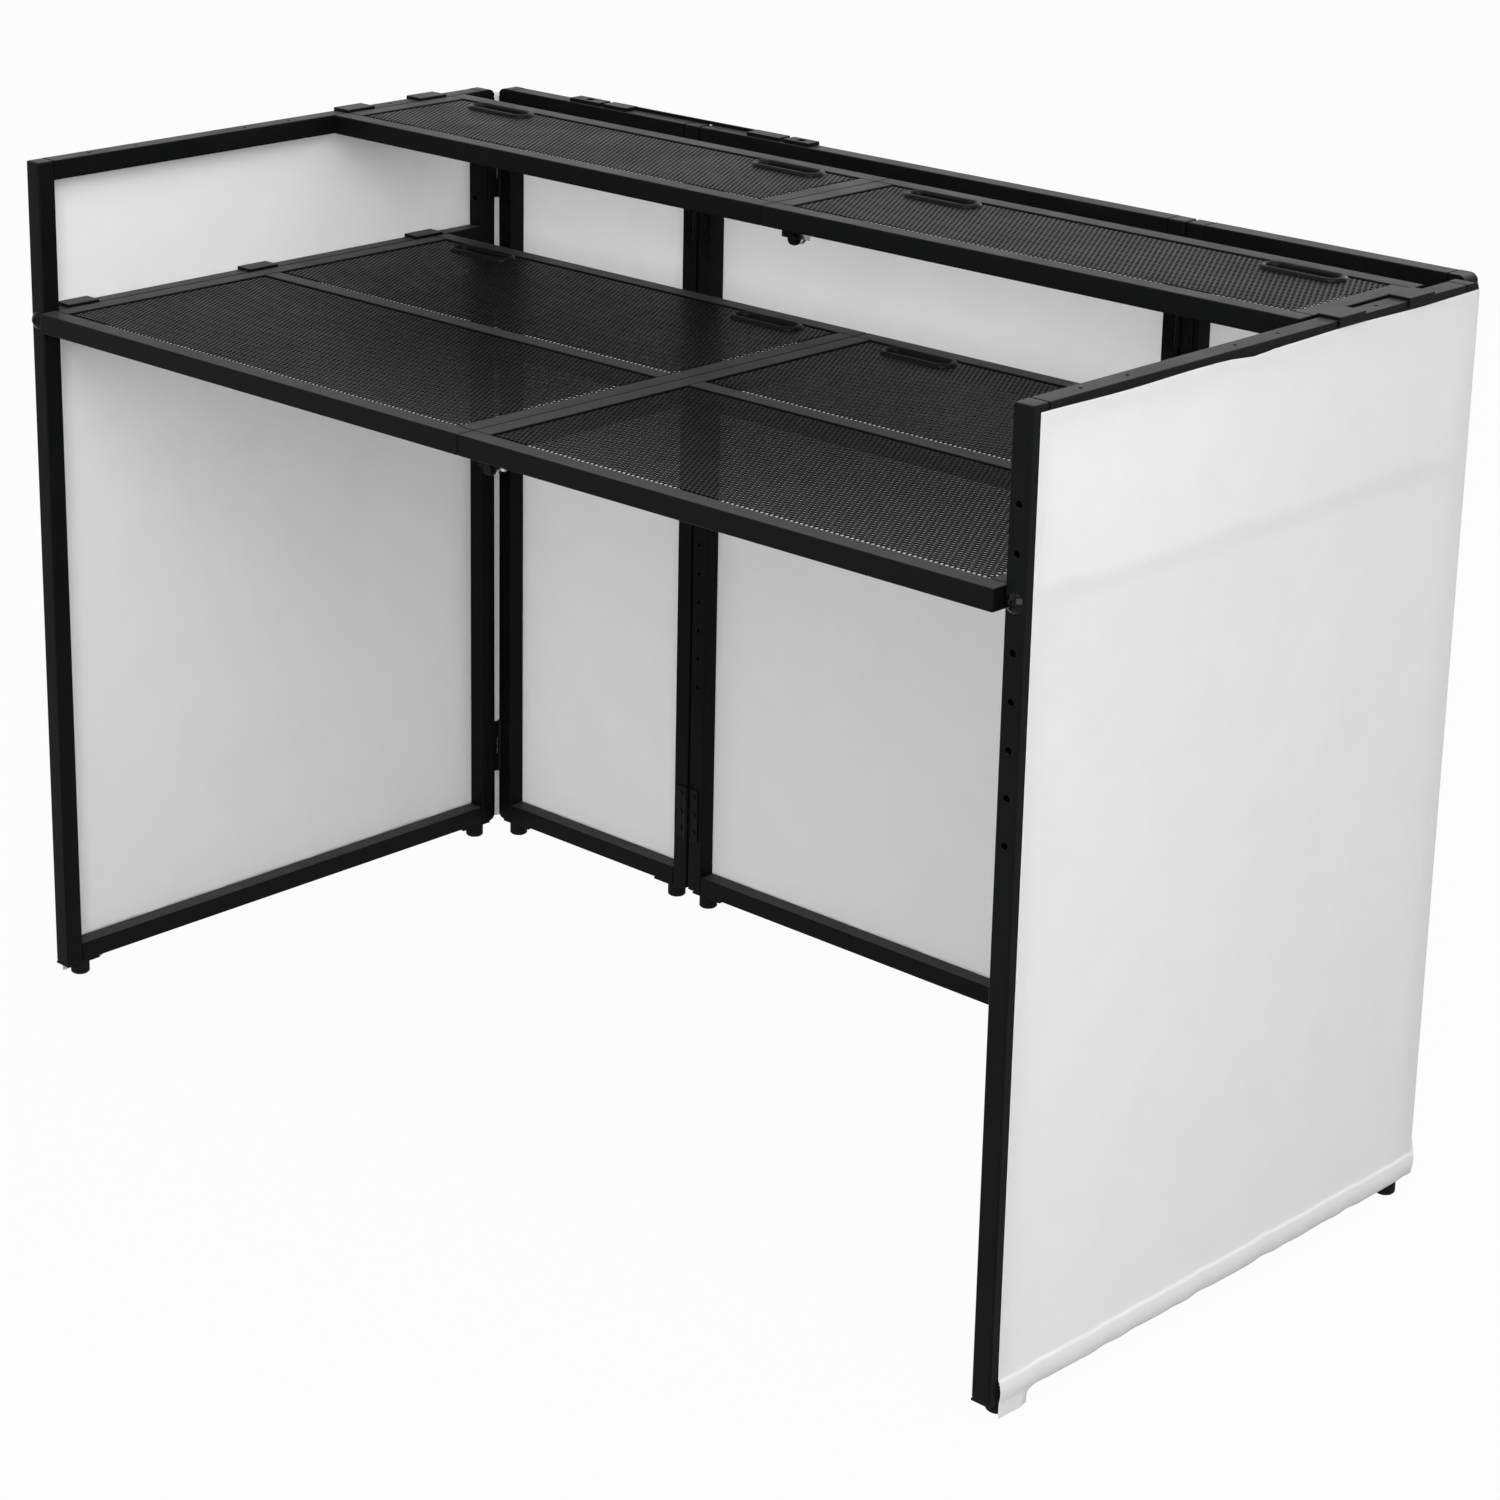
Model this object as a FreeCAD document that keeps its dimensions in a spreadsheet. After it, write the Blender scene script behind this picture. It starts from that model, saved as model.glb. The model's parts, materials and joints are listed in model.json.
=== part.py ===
import FreeCAD, Part
import os

# Folding booth for a disc jockey: five hinged tube frames in a U, stretch scrims on their outer
# faces, a two-part perforated table and a two-part perforated shelf that hang on the side frames.
# Frame: +X to the right of the person standing at the table, +Y towards the front of the facade,
# +Z up. The origin is on the floor, in the middle of the booth's box.

doc = FreeCAD.newDocument("dj_booth")
sheet = doc.addObject("Spreadsheet::Sheet", "Dims")

sizes = {
    # The facade's frames, in millimetres.
    "booth_width": 1606,        # over the outer faces of the side frames' tubes
    "side_depth": 775,          # length of a side frame
    "frame_height": 1080,       # height of every frame, without its feet
    "centre_width": 789,        # width of the middle frame
    "tube_width": 25,           # square tube of all frames
    "tube_wall": 1.5,
    "corner_radius": 10,        # rounded tube ends beside the hinges
    "corner_gap": 10,           # side frame's far end to the wing frame's inner face
    "corner_lap": 1.5,          # wing frame's end past the side frame's inner face
    "panel_gap": 3.5,           # wing frame to middle frame
    # Feet and the plates that carry them.
    "foot_height": 17,
    "foot_radius": 12.5,
    "foot_chamfer": 2,
    "foot_stud_radius": 3,
    "foot_inset": 29,           # foot centre from the end of its frame
    "plate_thickness": 3,
    "plate_length": 52,
    # Holes in the tubes.
    "hole_radius": 4,
    "hole_pitch": 50.8,         # height steps of the table on the side posts
    "post_hole_radius": 3,
    "post_hole_pitch": 40.8,    # spare holes on the middle frame's posts
    "post_hole_height": 303,    # lowest spare hole above the tube's end
    "rail_hole_radius": 2.5,
    "rail_hole_start": 88,      # first hole of the top rail from the near end
    "rail_hole_pair": 74,       # the two holes of a pair
    "rail_hole_end": 181,       # first hole of the last pair from the far end
    # Support rails and their bolts.
    "rail_drop": 202.5,         # middle of the support rail below the frame's top
    "rail_width": 22,
    "rail_plug_length": 22,
    "bolt_radius": 3.8,
    "bolt_head_radius": 11.5,
    "bolt_head_height": 6.5,
    "bolt_recess_width": 2.2,
    "bolt_recess_length": 10,
    "bolt_recess_depth": 2.4,
    "peg_radius": 3.8,
    # Hangers that carry the table and the shelf.
    "hanger_length": 48,
    "hanger_plate": 4,
    "hanger_leg": 2,
    "hanger_ledge": 14,
    "hanger_lip": 7,
    "hanger_clearance": 0.3,
    "table_hanger_first": 62,   # middle of the first hanger from the near end
    "table_hanger_last": 28,    # middle of the last hanger from the table's far edge
    "shelf_hanger_first": 51,   # middle of the first hanger from the shelf's near edge
    "shelf_hanger_step": 130,
    # Table and shelf.
    "end_gap": 6,               # side frame's inner face to the end of the table or shelf
    "seam_gap": 1,
    "table_overhang": 11,       # table in front of the side frames' near faces
    "table_back_gap": 95,       # table's far edge from the side frame's far end
    "table_rise": 1.5,          # table's top over the support rail's top
    "table_divider": 357,       # middle of the divider from the table's near edge
    "shelf_back_gap": 62,       # shelf's far edge from the side frame's far end
    "shelf_depth": 234,
    "shelf_rise": 1.2,          # shelf's top over the side frames' top
    "sheet_thickness": 1.5,
    "sheet_recess": 0.6,        # perforated sheet below the tubes' top
    # Cable grommets.
    "grommet_length": 112,
    "grommet_width": 38,
    "grommet_rim": 8,           # width of the rim round the slot
    "grommet_height": 4,        # rim above the sheet
    "grommet_skirt": 6,         # skirt below the sheet
    "grommet_wall": 3,
    "grommet_inset": 125,       # grommet's middle from each end of a half
    "table_grommet_back": 50,   # grommet's middle from the table's far edge
    "shelf_grommet_back": 49,   # grommet's middle from the shelf's far edge
    # Seam hinges under the table and the shelf.
    "seam_axis_drop": 50,       # hinge axis below the top
    "ear_radius": 8,
    "ear_width": 20,
    "ear_thickness": 4,
    "ear_gap": 0.3,
    "seam_pin_radius": 3,
    "seam_head_radius": 6.5,
    "seam_head_height": 4,
    "table_hinge_inset": 55,    # middle of a seam hinge from the table's near and far edges
    "shelf_hinge_inset": 66,    # middle of a seam hinge from the shelf's near and far edges
    # Butt hinges of the frames.
    "hinge_height": 76,
    "hinge_inset": 114,         # hinge's middle from each end of the frame
    "knuckle_radius": 3.5,
    "hinge_pin_radius": 1.8,
    "hinge_pin_head": 1.5,
    "hinge_pin_head_radius": 2.6,
    "leaf_thickness": 2,
    "leaf_width": 20,
    "leaf_clearance": 0.3,
    "running_clearance": 0.05,
    "screw_radius": 2,
    "screw_head_radius": 3.8,
    "screw_head_height": 1.6,
    "screw_length": 7,
    "screw_clearance": 0.2,
    "screw_pitch": 26,
    # Stretch scrims.
    "scrim_thickness": 1.2,
    "scrim_drop": 8.5,          # scrim's top edge below the frame's top
    "scrim_margin": 12,         # scrim's near edge from the side frame's near face
    "scrim_hem": 14,            # hem turned in under the bottom rail
    # Bars on top of the front rails that keep a wing frame in line with the middle frame.
    "joint_wing_inset": 184,    # first clip's gap from the left wing's inner end
    "joint_inset": 142,         # second clip's gap from the centre frame's left end
    "joint_bar_height": 4.5,
    "joint_bar_thickness": 3,
    "joint_bar_gap": 7,         # bar's end to the clip on the rail
    "joint_bar_block": 44,      # length of a clip's right-hand piece
    "joint_clip_length": 57,    # length of a clip's left-hand piece
    "joint_clip_depth": 22,
    "joint_clip_height": 5,
    "joint_clip_slot": 6,       # slot in the clip, across and along
    "overrun": 1,               # all cuts pass through the surface by this much
}
for row, (alias, number) in enumerate(sizes.items(), start=1):
    sheet.set("A%d" % row, alias)
    sheet.set("B%d" % row, str(number))
    sheet.setAlias("B%d" % row, alias)
doc.recompute()


class Sizes:
    """Gives each size of the sheet as the words that an expression uses for it."""

    def __getattr__(self, alias):
        if alias not in sizes:
            raise AttributeError(alias)
        return "Dims." + alias


d = Sizes()
nodes = {}


def value(expression):
    """Works out an expression with the sheet's numbers."""
    return float(sheet.evalExpression(expression.replace("Dims.", "")))


def new_name(words):
    return words.replace(" ", "_")


def opposite(span):
    low, high = span
    return ("-(%s)" % high, "-(%s)" % low)


def on_side(span, side):
    """A span along X for the right side (1), or its mirror image for the left side (-1)."""
    return span if side > 0 else opposite(span)


def at_side(place, side):
    return place if side > 0 else "-(%s)" % place


def put(item, x, y, z):
    for axis, place in zip("xyz", (x, y, z)):
        item.setExpression("Placement.Base." + axis, place)
    return item


def block(name, x, y, z):
    """A box between the low and high ends of three spans."""
    box = doc.addObject("Part::Box", new_name(name))
    for size, (low, high) in zip(("Length", "Width", "Height"), (x, y, z)):
        box.setExpression(size, "(%s) - (%s)" % (high, low))
    return put(box, x[0], y[0], z[0])


TURNS = {
    "x": FreeCAD.Rotation(FreeCAD.Vector(0, 1, 0), 90),
    "y": FreeCAD.Rotation(FreeCAD.Vector(1, 0, 0), -90),
    "z": FreeCAD.Rotation(),
}


def rod(name, axis, radius, x, y, z):
    """A cylinder: the span along its axis is a pair, and the other two places are single."""
    places = dict(x=x, y=y, z=z)
    low, high = places[axis]
    places[axis] = low
    cylinder = doc.addObject("Part::Cylinder", new_name(name))
    cylinder.setExpression("Radius", radius)
    cylinder.setExpression("Height", "(%s) - (%s)" % (high, low))
    cylinder.Placement = FreeCAD.Placement(FreeCAD.Vector(), TURNS[axis])
    return put(cylinder, places["x"], places["y"], places["z"])


def taper(name, low_radius, high_radius, x, y, z):
    cone = doc.addObject("Part::Cone", new_name(name))
    cone.setExpression("Radius1", low_radius)
    cone.setExpression("Radius2", high_radius)
    cone.setExpression("Height", "(%s) - (%s)" % (z[1], z[0]))
    return put(cone, x, y, z[0])


def together(name, items):
    compound = doc.addObject("Part::Compound", new_name(name))
    compound.Links = items
    return compound


def fused(name, items):
    union = doc.addObject("Part::MultiFuse", new_name(name))
    union.Shapes = items
    return union


def cut(name, base, tools):
    result = doc.addObject("Part::Cut", new_name(name))
    result.Base = base
    result.Tool = tools[0] if len(tools) == 1 else together(name + " tools", tools)
    return result


def rounded(name, base, axis, corners):
    """Rounds the edges of a box that run along an axis through the given corners."""
    doc.recompute()
    fillet = doc.addObject("Part::Fillet", new_name(name))
    fillet.Base = base
    radius = value(d.corner_radius)
    found = []
    for number, edge in enumerate(base.Shape.Edges, start=1):
        middle = edge.CenterOfMass
        for corner in corners:
            wanted = FreeCAD.Vector(*[value(place) if place else getattr(middle, name_of)
                                      for name_of, place in zip("xyz", corner)])
            runs_along = round(abs(getattr(edge.tangentAt(edge.FirstParameter), axis))) == 1
            if runs_along and middle.isEqual(wanted, radius / 2):
                found.append((number, radius, radius))
    if len(found) != len(corners):
        raise RuntimeError("%s: %d of %d edges found" % (name, len(found), len(corners)))
    fillet.Edges = found
    return fillet


def node(label, items):
    """Names a finished sub-part: one solid, or a group of separate solids."""
    item = items[0] if len(items) == 1 else together(label + " group", items)
    item.Label = label
    nodes[label] = item
    return item


def within(span, inset):
    return ("%s + %s" % (span[0], inset), "%s - %s" % (span[1], inset))


def beyond(span, extra):
    return ("%s - %s" % (span[0], extra), "%s + %s" % (span[1], extra))


def tube(name, axis, x, y, z, capped=False):
    """A square tube, open at both ends or closed by welded caps as thick as its wall."""
    spans = dict(x=x, y=y, z=z)
    inner = {}
    for letter, span in spans.items():
        through = letter == axis and not capped
        inner[letter] = beyond(span, d.overrun) if through else within(span, d.tube_wall)
    return cut(name, block(name + " outside", x, y, z), [block(name + " inside", **inner)])


def closed_post(name, x, y, z, body, holes):
    """An upright tube whose ends are closed by welded plugs as deep as the corner's radius."""
    inside = block(name + " inside", within(x, d.tube_wall), within(y, d.tube_wall),
                   within(z, d.corner_radius))
    return cut(name, body, [inside] + holes)


# Places that the pieces share, as expressions.
half = "%s / 2" % d.booth_width
outer_x = half
inner_x = "(%s - %s)" % (half, d.tube_width)
near_y = "((%s - %s - %s - %s - %s) / 2)" % (d.table_overhang, d.side_depth, d.corner_gap, d.tube_width,
                                           d.scrim_thickness)
far_y = "(%s + %s)" % (near_y, d.side_depth)
front_in_y = "(%s + %s)" % (far_y, d.corner_gap)
front_out_y = "(%s + %s)" % (front_in_y, d.tube_width)
low_z = "(%s + %s)" % (d.foot_height, d.plate_thickness)
top_z = "(%s + %s)" % (low_z, d.frame_height)
rail_z = "(%s - %s)" % (top_z, d.rail_drop)
rail_top_z = "(%s + %s / 2)" % (rail_z, d.tube_width)
table_z = "(%s + %s)" % (rail_top_z, d.table_rise)
shelf_z = "(%s + %s)" % (top_z, d.shelf_rise)
wing_end_x = "(%s + %s)" % (inner_x, d.corner_lap)
centre_end_x = "(%s / 2)" % d.centre_width
wing_start_x = "(%s + %s)" % (centre_end_x, d.panel_gap)
item_end_x = "(%s - %s)" % (inner_x, d.end_gap)
table_y = ("(%s - %s)" % (near_y, d.table_overhang),
           "(%s - %s)" % (far_y, d.table_back_gap))
shelf_y = ("(%s - %s - %s)" % (far_y, d.shelf_back_gap, d.shelf_depth),
           "(%s - %s)" % (far_y, d.shelf_back_gap))
upright = (low_z, top_z)
side_x = (inner_x, outer_x)
front_y = (front_in_y, front_out_y)
post_middle_x = "(%s - %s / 2)" % (half, d.tube_width)
hinge_middles = ("(%s + %s)" % (low_z, d.hinge_inset), "(%s - %s)" % (top_z, d.hinge_inset))

SIDES = {"left": -1, "right": 1}
HOLE_STEPS = range(-5, 3)
BOLT_STEP = (0,)
SPARE_HOLES = range(6)
OUTER_POSTS = (("left_wing", "start"), ("right_wing", "end"))
RAIL_PAIRS = range(3)
SCREW_ROWS = (-1, 0, 1)
CAPPED_BARS = ("near bar", "far bar")
OPENING_COLUMNS = 12
OPENING_ROWS = {"near_sheet": 5, "far_sheet": 3, "sheet": 2}
OPENING_SHARE = 0.63


def front_frame(label, x):
    """One frame of the facade's front: two posts, and two rails between them. The post beside a side
    frame has rounded ends, and the posts that meet in the front are square."""
    posts = []
    for end, corner_x in zip(("start", "end"), x):
        if end == "start":
            post_x = (x[0], "%s + %s" % (x[0], d.tube_width))
        else:
            post_x = ("%s - %s" % (x[1], d.tube_width), x[1])
        name = "%s %s post" % (label, end)
        body = block(name + " outside", post_x, front_y, upright)
        if (label, end) in OUTER_POSTS:
            body = rounded(name + " rounded", body, "y", [(corner_x, "", low_z), (corner_x, "", top_z)])
        holes = []
        if label == "centre":
            middle_x = "%s + %s / 2" % (post_x[0], d.tube_width)
            for step in SPARE_HOLES:
                height = "%s + %s + %d * %s" % (low_z, d.post_hole_height, step, d.post_hole_pitch)
                drill = ("%s - %s" % (front_in_y, d.overrun), "%s + %s * 2" % (front_in_y, d.tube_wall))
                holes.append(rod("%s hole %d" % (name, step), "y", d.post_hole_radius,
                                 middle_x, drill, height))
        posts.append(closed_post(name, post_x, front_y, upright, body, holes))
    node(label + "_posts", posts)
    rail_x = within(x, d.tube_width)
    rails = [
        tube(label + " bottom rail", "x", rail_x, front_y, (low_z, "%s + %s" % (low_z, d.tube_width))),
        tube(label + " top rail", "x", rail_x, front_y, ("%s - %s" % (top_z, d.tube_width), top_z)),
    ]
    node(label + "_rails", rails)


def side_frame(label, side):
    """A side frame: a near post, a far post with rounded ends beside the hinges, and two rails. The left
    near post has only the bolt's hole, and the other side posts have a row of them."""
    x = on_side(side_x, side)
    middle_x = at_side(post_middle_x, side)
    near_span = (near_y, "%s + %s" % (near_y, d.tube_width))
    far_span = ("%s - %s" % (far_y, d.tube_width), far_y)
    posts = []
    for name, y in (("near", near_span), ("far", far_span)):
        words = "%s %s post" % (label, name)
        holes = []
        for step in BOLT_STEP if (label, name) == ("left", "near") else HOLE_STEPS:
            height = "%s + (%d) * %s" % (rail_z, step, d.hole_pitch)
            drill = beyond(y, d.overrun)
            if name == "far":
                drill = (drill[0], "%s + %s * 2" % (y[0], d.tube_wall))
            holes.append(rod("%s hole %d" % (words, step + len(HOLE_STEPS)), "y", d.hole_radius,
                             middle_x, drill, height))
        body = block(words + " outside", x, y, upright)
        if name == "far":
            body = rounded(words + " rounded", body, "x", [("", far_y, low_z), ("", far_y, top_z)])
        posts.append(closed_post(words, x, y, upright, body, holes))
    node(label + "_side_posts", posts)

    rail_y = ("%s + %s" % (near_y, d.tube_width), "%s - %s" % (far_y, d.tube_width))
    top = tube(label + " top rail", "y", x, rail_y, ("%s - %s" % (top_z, d.tube_width), top_z))
    drill = ("%s - %s * 2" % (top_z, d.tube_wall), "%s + %s" % (top_z, d.overrun))
    holes = []
    for pair in RAIL_PAIRS:
        for second in (0, 1):
            step = "(%s - %s - %s) / %d" % (d.side_depth, d.rail_hole_start, d.rail_hole_end,
                                            len(RAIL_PAIRS) - 1)
            place = "%s + %s + %d * %s + %d * %s" % (near_y, d.rail_hole_start, pair, step, second,
                                                     d.rail_hole_pair)
            holes.append(rod("%s rail hole %d %d" % (label, pair, second), "z", d.rail_hole_radius,
                             middle_x, place, drill))
    rails = [
        tube(label + " bottom rail", "y", x, rail_y, (low_z, "%s + %s" % (low_z, d.tube_width))),
        cut(label + " drilled top rail", top, holes),
    ]
    node(label + "_side_rails", rails)
    return rail_y


def support_rail(label, side, rail_y):
    """The rail under the table's end: a tube with a threaded plug at the near end for its bolt and
    a plug with a peg at the far end, which stands in a hole of the far post."""
    x = on_side((inner_x, "%s + %s" % (inner_x, d.rail_width)), side)
    middle_x = at_side(post_middle_x, side)
    z = ("%s - %s / 2" % (rail_z, d.tube_width), rail_top_z)
    rail = tube(label + " support rail", "y", x, rail_y, z)
    plug_x = within(x, d.tube_wall)
    plug_z = within(z, d.tube_wall)
    near_plug_y = (rail_y[0], "%s + %s" % (rail_y[0], d.rail_plug_length))
    far_plug_y = ("%s - %s" % (rail_y[1], d.rail_plug_length), rail_y[1])
    bore = rod(label + " near plug bore", "y", "%s + %s" % (d.bolt_radius, d.running_clearance),
               middle_x, beyond(near_plug_y, d.overrun), rail_z)
    near_plug = cut(label + " near plug", block(label + " near plug body", plug_x, near_plug_y, plug_z),
                    [bore])
    peg = rod(label + " peg", "y", d.peg_radius, middle_x,
              (far_plug_y[0], "%s + %s * 2" % (rail_y[1], d.tube_wall)), rail_z)
    far_plug = fused(label + " far plug",
                     [block(label + " far plug body", plug_x, far_plug_y, plug_z), peg])
    node(label + "_support_rail", [rail, near_plug, far_plug])

    head_y = ("%s - %s" % (near_y, d.bolt_head_height), near_y)
    shank = rod(label + " bolt shank", "y", d.bolt_radius, middle_x,
                (near_y, "%s + %s" % (rail_y[0], d.rail_plug_length)), rail_z)
    dome = doc.addObject("Part::Sphere", new_name(label + " bolt dome"))
    dome_radius = "(%s * %s + %s * %s) / (2 * %s)" % (d.bolt_head_radius, d.bolt_head_radius,
                                                     d.bolt_head_height, d.bolt_head_height,
                                                     d.bolt_head_height)
    dome.setExpression("Radius", dome_radius)
    put(dome, middle_x, "%s + %s" % (head_y[0], dome_radius), rail_z)
    disc = rod(label + " bolt disc", "y", d.bolt_head_radius, middle_x, head_y, rail_z)
    head = doc.addObject("Part::Common", new_name(label + " bolt head"))
    head.Base = disc
    head.Tool = dome
    recess_y = ("%s - %s" % (head_y[0], d.overrun), "%s + %s" % (head_y[0], d.bolt_recess_depth))
    long_half = "%s / 2" % d.bolt_recess_length
    short_half = "%s / 2" % d.bolt_recess_width
    recess = []
    for words, half_x, half_z in (("flat", long_half, short_half), ("tall", short_half, long_half)):
        recess.append(block("%s recess %s" % (label, words),
                            ("%s - %s" % (middle_x, half_x), "%s + %s" % (middle_x, half_x)), recess_y,
                            ("%s - %s" % (rail_z, half_z), "%s + %s" % (rail_z, half_z))))
    cross = fused(label + " bolt cross", recess)
    node(label + "_rail_bolt", [cut(label + " bolt", fused(label + " bolt solid", [shank, head]), [cross])])


def hanger(name, side, middle_y, seat_z, outer_face, under_z):
    """A bent plate over a rail: a lip outside, a leg inside and a ledge under the table or shelf."""
    leg_in = "%s - %s - %s" % (inner_x, d.hanger_clearance, d.hanger_leg)
    leg_out = "%s - %s" % (inner_x, d.hanger_clearance)
    lip_in = "%s + %s" % (outer_face, d.hanger_clearance)
    lip_out = "%s + %s" % (lip_in, d.hanger_leg)
    y = ("%s - %s / 2" % (middle_y, d.hanger_length), "%s + %s / 2" % (middle_y, d.hanger_length))
    plate_z = (seat_z, "%s + %s" % (seat_z, d.hanger_plate))
    ledge_z = ("%s - %s" % (under_z, d.hanger_leg), under_z)
    pieces = [
        block(name + " plate", on_side((leg_in, lip_out), side), y, plate_z),
        block(name + " leg", on_side((leg_in, leg_out), side), y, (ledge_z[0], plate_z[1])),
        block(name + " lip", on_side((lip_in, lip_out), side), y,
              ("%s - %s" % (seat_z, d.hanger_lip), plate_z[1])),
        block(name + " ledge", on_side(("%s - %s" % (leg_out, d.hanger_ledge), leg_out), side), y, ledge_z),
    ]
    return fused(name, pieces)


def hangers(label, side):
    table_under = "%s - %s" % (table_z, d.tube_width)
    shelf_under = "%s - %s" % (shelf_z, d.tube_width)
    rail_outer = "%s + %s" % (inner_x, d.rail_width)
    on_table = []
    first = "(%s + %s)" % (near_y, d.table_hanger_first)
    last = "(%s - %s)" % (table_y[1], d.table_hanger_last)
    for step, place in enumerate((first, "(%s + %s) / 2" % (first, last), last)):
        on_table.append(hanger("%s table hanger %d" % (label, step), side, place, rail_top_z, rail_outer,
                               table_under))
    node(label + "_table_hangers", on_table)
    on_shelf = []
    for step in range(2):
        place = "%s + %s + %d * %s" % (shelf_y[0], d.shelf_hanger_first, step, d.shelf_hanger_step)
        on_shelf.append(hanger("%s shelf hanger %d" % (label, step), side, place, top_z, outer_x,
                               shelf_under))
    node(label + "_shelf_hangers", on_shelf)


def foot(name, x, y):
    """A turned rubber foot with a chamfered sole and a stud that is riveted through its plate."""
    middle = d.foot_chamfer
    return fused(name, [
        taper(name + " sole", "%s - %s" % (d.foot_radius, d.foot_chamfer), d.foot_radius, x, y,
              ("0", middle)),
        rod(name + " pad", "z", d.foot_radius, x, y, (middle, d.foot_height)),
        rod(name + " stud", "z", d.foot_stud_radius, x, y, (d.foot_height, low_z)),
    ])


def foot_plate(name, x, y, foot_x, foot_y):
    plate = block(name, x, y, (d.foot_height, low_z))
    hole = rod(name + " hole", "z", "%s + %s" % (d.foot_stud_radius, d.running_clearance), foot_x, foot_y,
               beyond((d.foot_height, low_z), d.overrun))
    return cut(name + " drilled", plate, [hole])


def side_feet(label, side):
    x = on_side(side_x, side)
    middle_x = at_side(post_middle_x, side)
    feet = []
    plates = []
    near_plate = (near_y, "%s + %s" % (near_y, d.plate_length))
    far_plate = ("%s - %s - %s" % (far_y, d.corner_radius, d.plate_length),
                 "%s - %s" % (far_y, d.corner_radius))
    for name, y, place in (("near", near_plate, "%s + %s" % (near_y, d.foot_inset)),
                           ("far", far_plate, "%s - %s" % (far_y, d.foot_inset))):
        feet.append(foot("%s %s foot" % (label, name), middle_x, place))
        plates.append(foot_plate("%s %s foot plate" % (label, name), x, y, middle_x, place))
    node(label + "_side_feet", feet)
    node(label + "_side_foot_plates", plates)


def front_feet(frames):
    """Two feet for each frame of the front, near its two ends."""
    feet = []
    plates = []
    middle_y = "%s + %s / 2" % (front_in_y, d.tube_width)
    for label, x in frames:
        start = "%s + %s" % (x[0], d.corner_radius)
        end = "%s - %s" % (x[1], d.corner_radius)
        ends = (("start", (start, "%s + %s" % (start, d.plate_length)), "%s + %s" % (x[0], d.foot_inset)),
                ("end", ("%s - %s" % (end, d.plate_length), end), "%s - %s" % (x[1], d.foot_inset)))
        for name, plate_x, place in ends:
            words = "%s %s" % (label, name)
            feet.append(foot(words + " foot", place, middle_y))
            plates.append(foot_plate(words + " foot plate", plate_x, front_y, place, middle_y))
    node("front_feet", feet)
    node("front_foot_plates", plates)


def knuckle_spans(middle_z, outer):
    """Heights of a leaf's knuckles: the two outer thirds of the hinge, or the middle third."""
    third = "%s / 3" % d.hinge_height
    bottom = "%s - %s / 2" % (middle_z, d.hinge_height)
    spans = []
    for place in range(3):
        if (place % 2 == 0) == outer:
            low = "%s + %d * (%s)" % (bottom, place, third)
            spans.append((low, "%s + %s" % (low, third)))
    if outer:
        return spans
    return [within(span, d.leaf_clearance) for span in spans]


def hinge_leaf(name, axis_x, axis_y, middle_z, outer, face, towards):
    """A leaf screwed to a face. The face is a span across the leaf's thickness, along x or y, and the
    leaf runs from the pin towards +1 or -1 along the other axis."""
    along, span = face
    reach = (d.knuckle_radius, d.leaf_clearance)
    pin_place = axis_y if along == "x" else axis_x
    near_edge = "%s + (%s) * (%s + %s)" % (pin_place, towards, reach[0], reach[1])
    far_edge = "%s + (%s) * %s" % (pin_place, towards, d.leaf_width)

    def spread(first, second):
        return (first, second) if int(towards) > 0 else (second, first)

    def place(strip, z, words):
        if along == "x":
            return block(words, span, strip, z)
        return block(words, strip, span, z)

    whole = ("%s - %s / 2" % (middle_z, d.hinge_height), "%s + %s / 2" % (middle_z, d.hinge_height))
    pieces = [place(spread(near_edge, far_edge), whole, name + " plate")]
    for number, z in enumerate(knuckle_spans(middle_z, outer)):
        pieces.append(place(spread(pin_place, near_edge), z, "%s tab %d" % (name, number)))
        pieces.append(rod("%s knuckle %d" % (name, number), "z", d.knuckle_radius, axis_x, axis_y, z))
    bore = rod(name + " bore", "z", "%s + %s" % (d.hinge_pin_radius, d.running_clearance), axis_x, axis_y,
               beyond(whole, d.overrun))
    holes = [bore]
    screw_place = "(%s + %s) / 2" % (near_edge, far_edge)
    through = beyond(span, d.overrun)
    for row in SCREW_ROWS:
        height = "%s + (%d) * %s" % (middle_z, row, d.screw_pitch)
        radius = "%s + %s" % (d.screw_radius, d.screw_clearance)
        words = "%s screw hole %d" % (name, row + len(SCREW_ROWS))
        if along == "x":
            holes.append(rod(words, "x", radius, through, screw_place, height))
        else:
            holes.append(rod(words, "y", radius, screw_place, through, height))
    return cut(name, fused(name + " solid", pieces), holes), screw_place


def hinge_screw(name, along, head_face, inwards, x, y, z):
    """A self-tapping screw: a flat round head on the leaf and a shank into the tube's wall."""
    head_end = "%s - (%d) * %s" % (head_face, inwards, d.screw_head_height)
    tip = "%s + (%d) * %s" % (head_face, inwards, d.screw_length)
    head = (head_end, head_face) if inwards > 0 else (head_face, head_end)
    shank = (head_face, tip) if inwards > 0 else (tip, head_face)
    if along == "x":
        return fused(name, [rod(name + " head", "x", d.screw_head_radius, head, y, z),
                            rod(name + " shank", "x", d.screw_radius, shank, y, z)])
    return fused(name, [rod(name + " head", "y", d.screw_head_radius, x, head, z),
                        rod(name + " shank", "y", d.screw_radius, x, shank, z)])


def hinge_pin(name, x, y, middle_z):
    top = "%s + %s / 2" % (middle_z, d.hinge_height)
    bottom = "%s - %s / 2" % (middle_z, d.hinge_height)
    return fused(name, [
        rod(name + " shaft", "z", d.hinge_pin_radius, x, y, (bottom, top)),
        rod(name + " head", "z", d.hinge_pin_head_radius, x, y, (top, "%s + %s" % (top, d.hinge_pin_head))),
    ])


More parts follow.
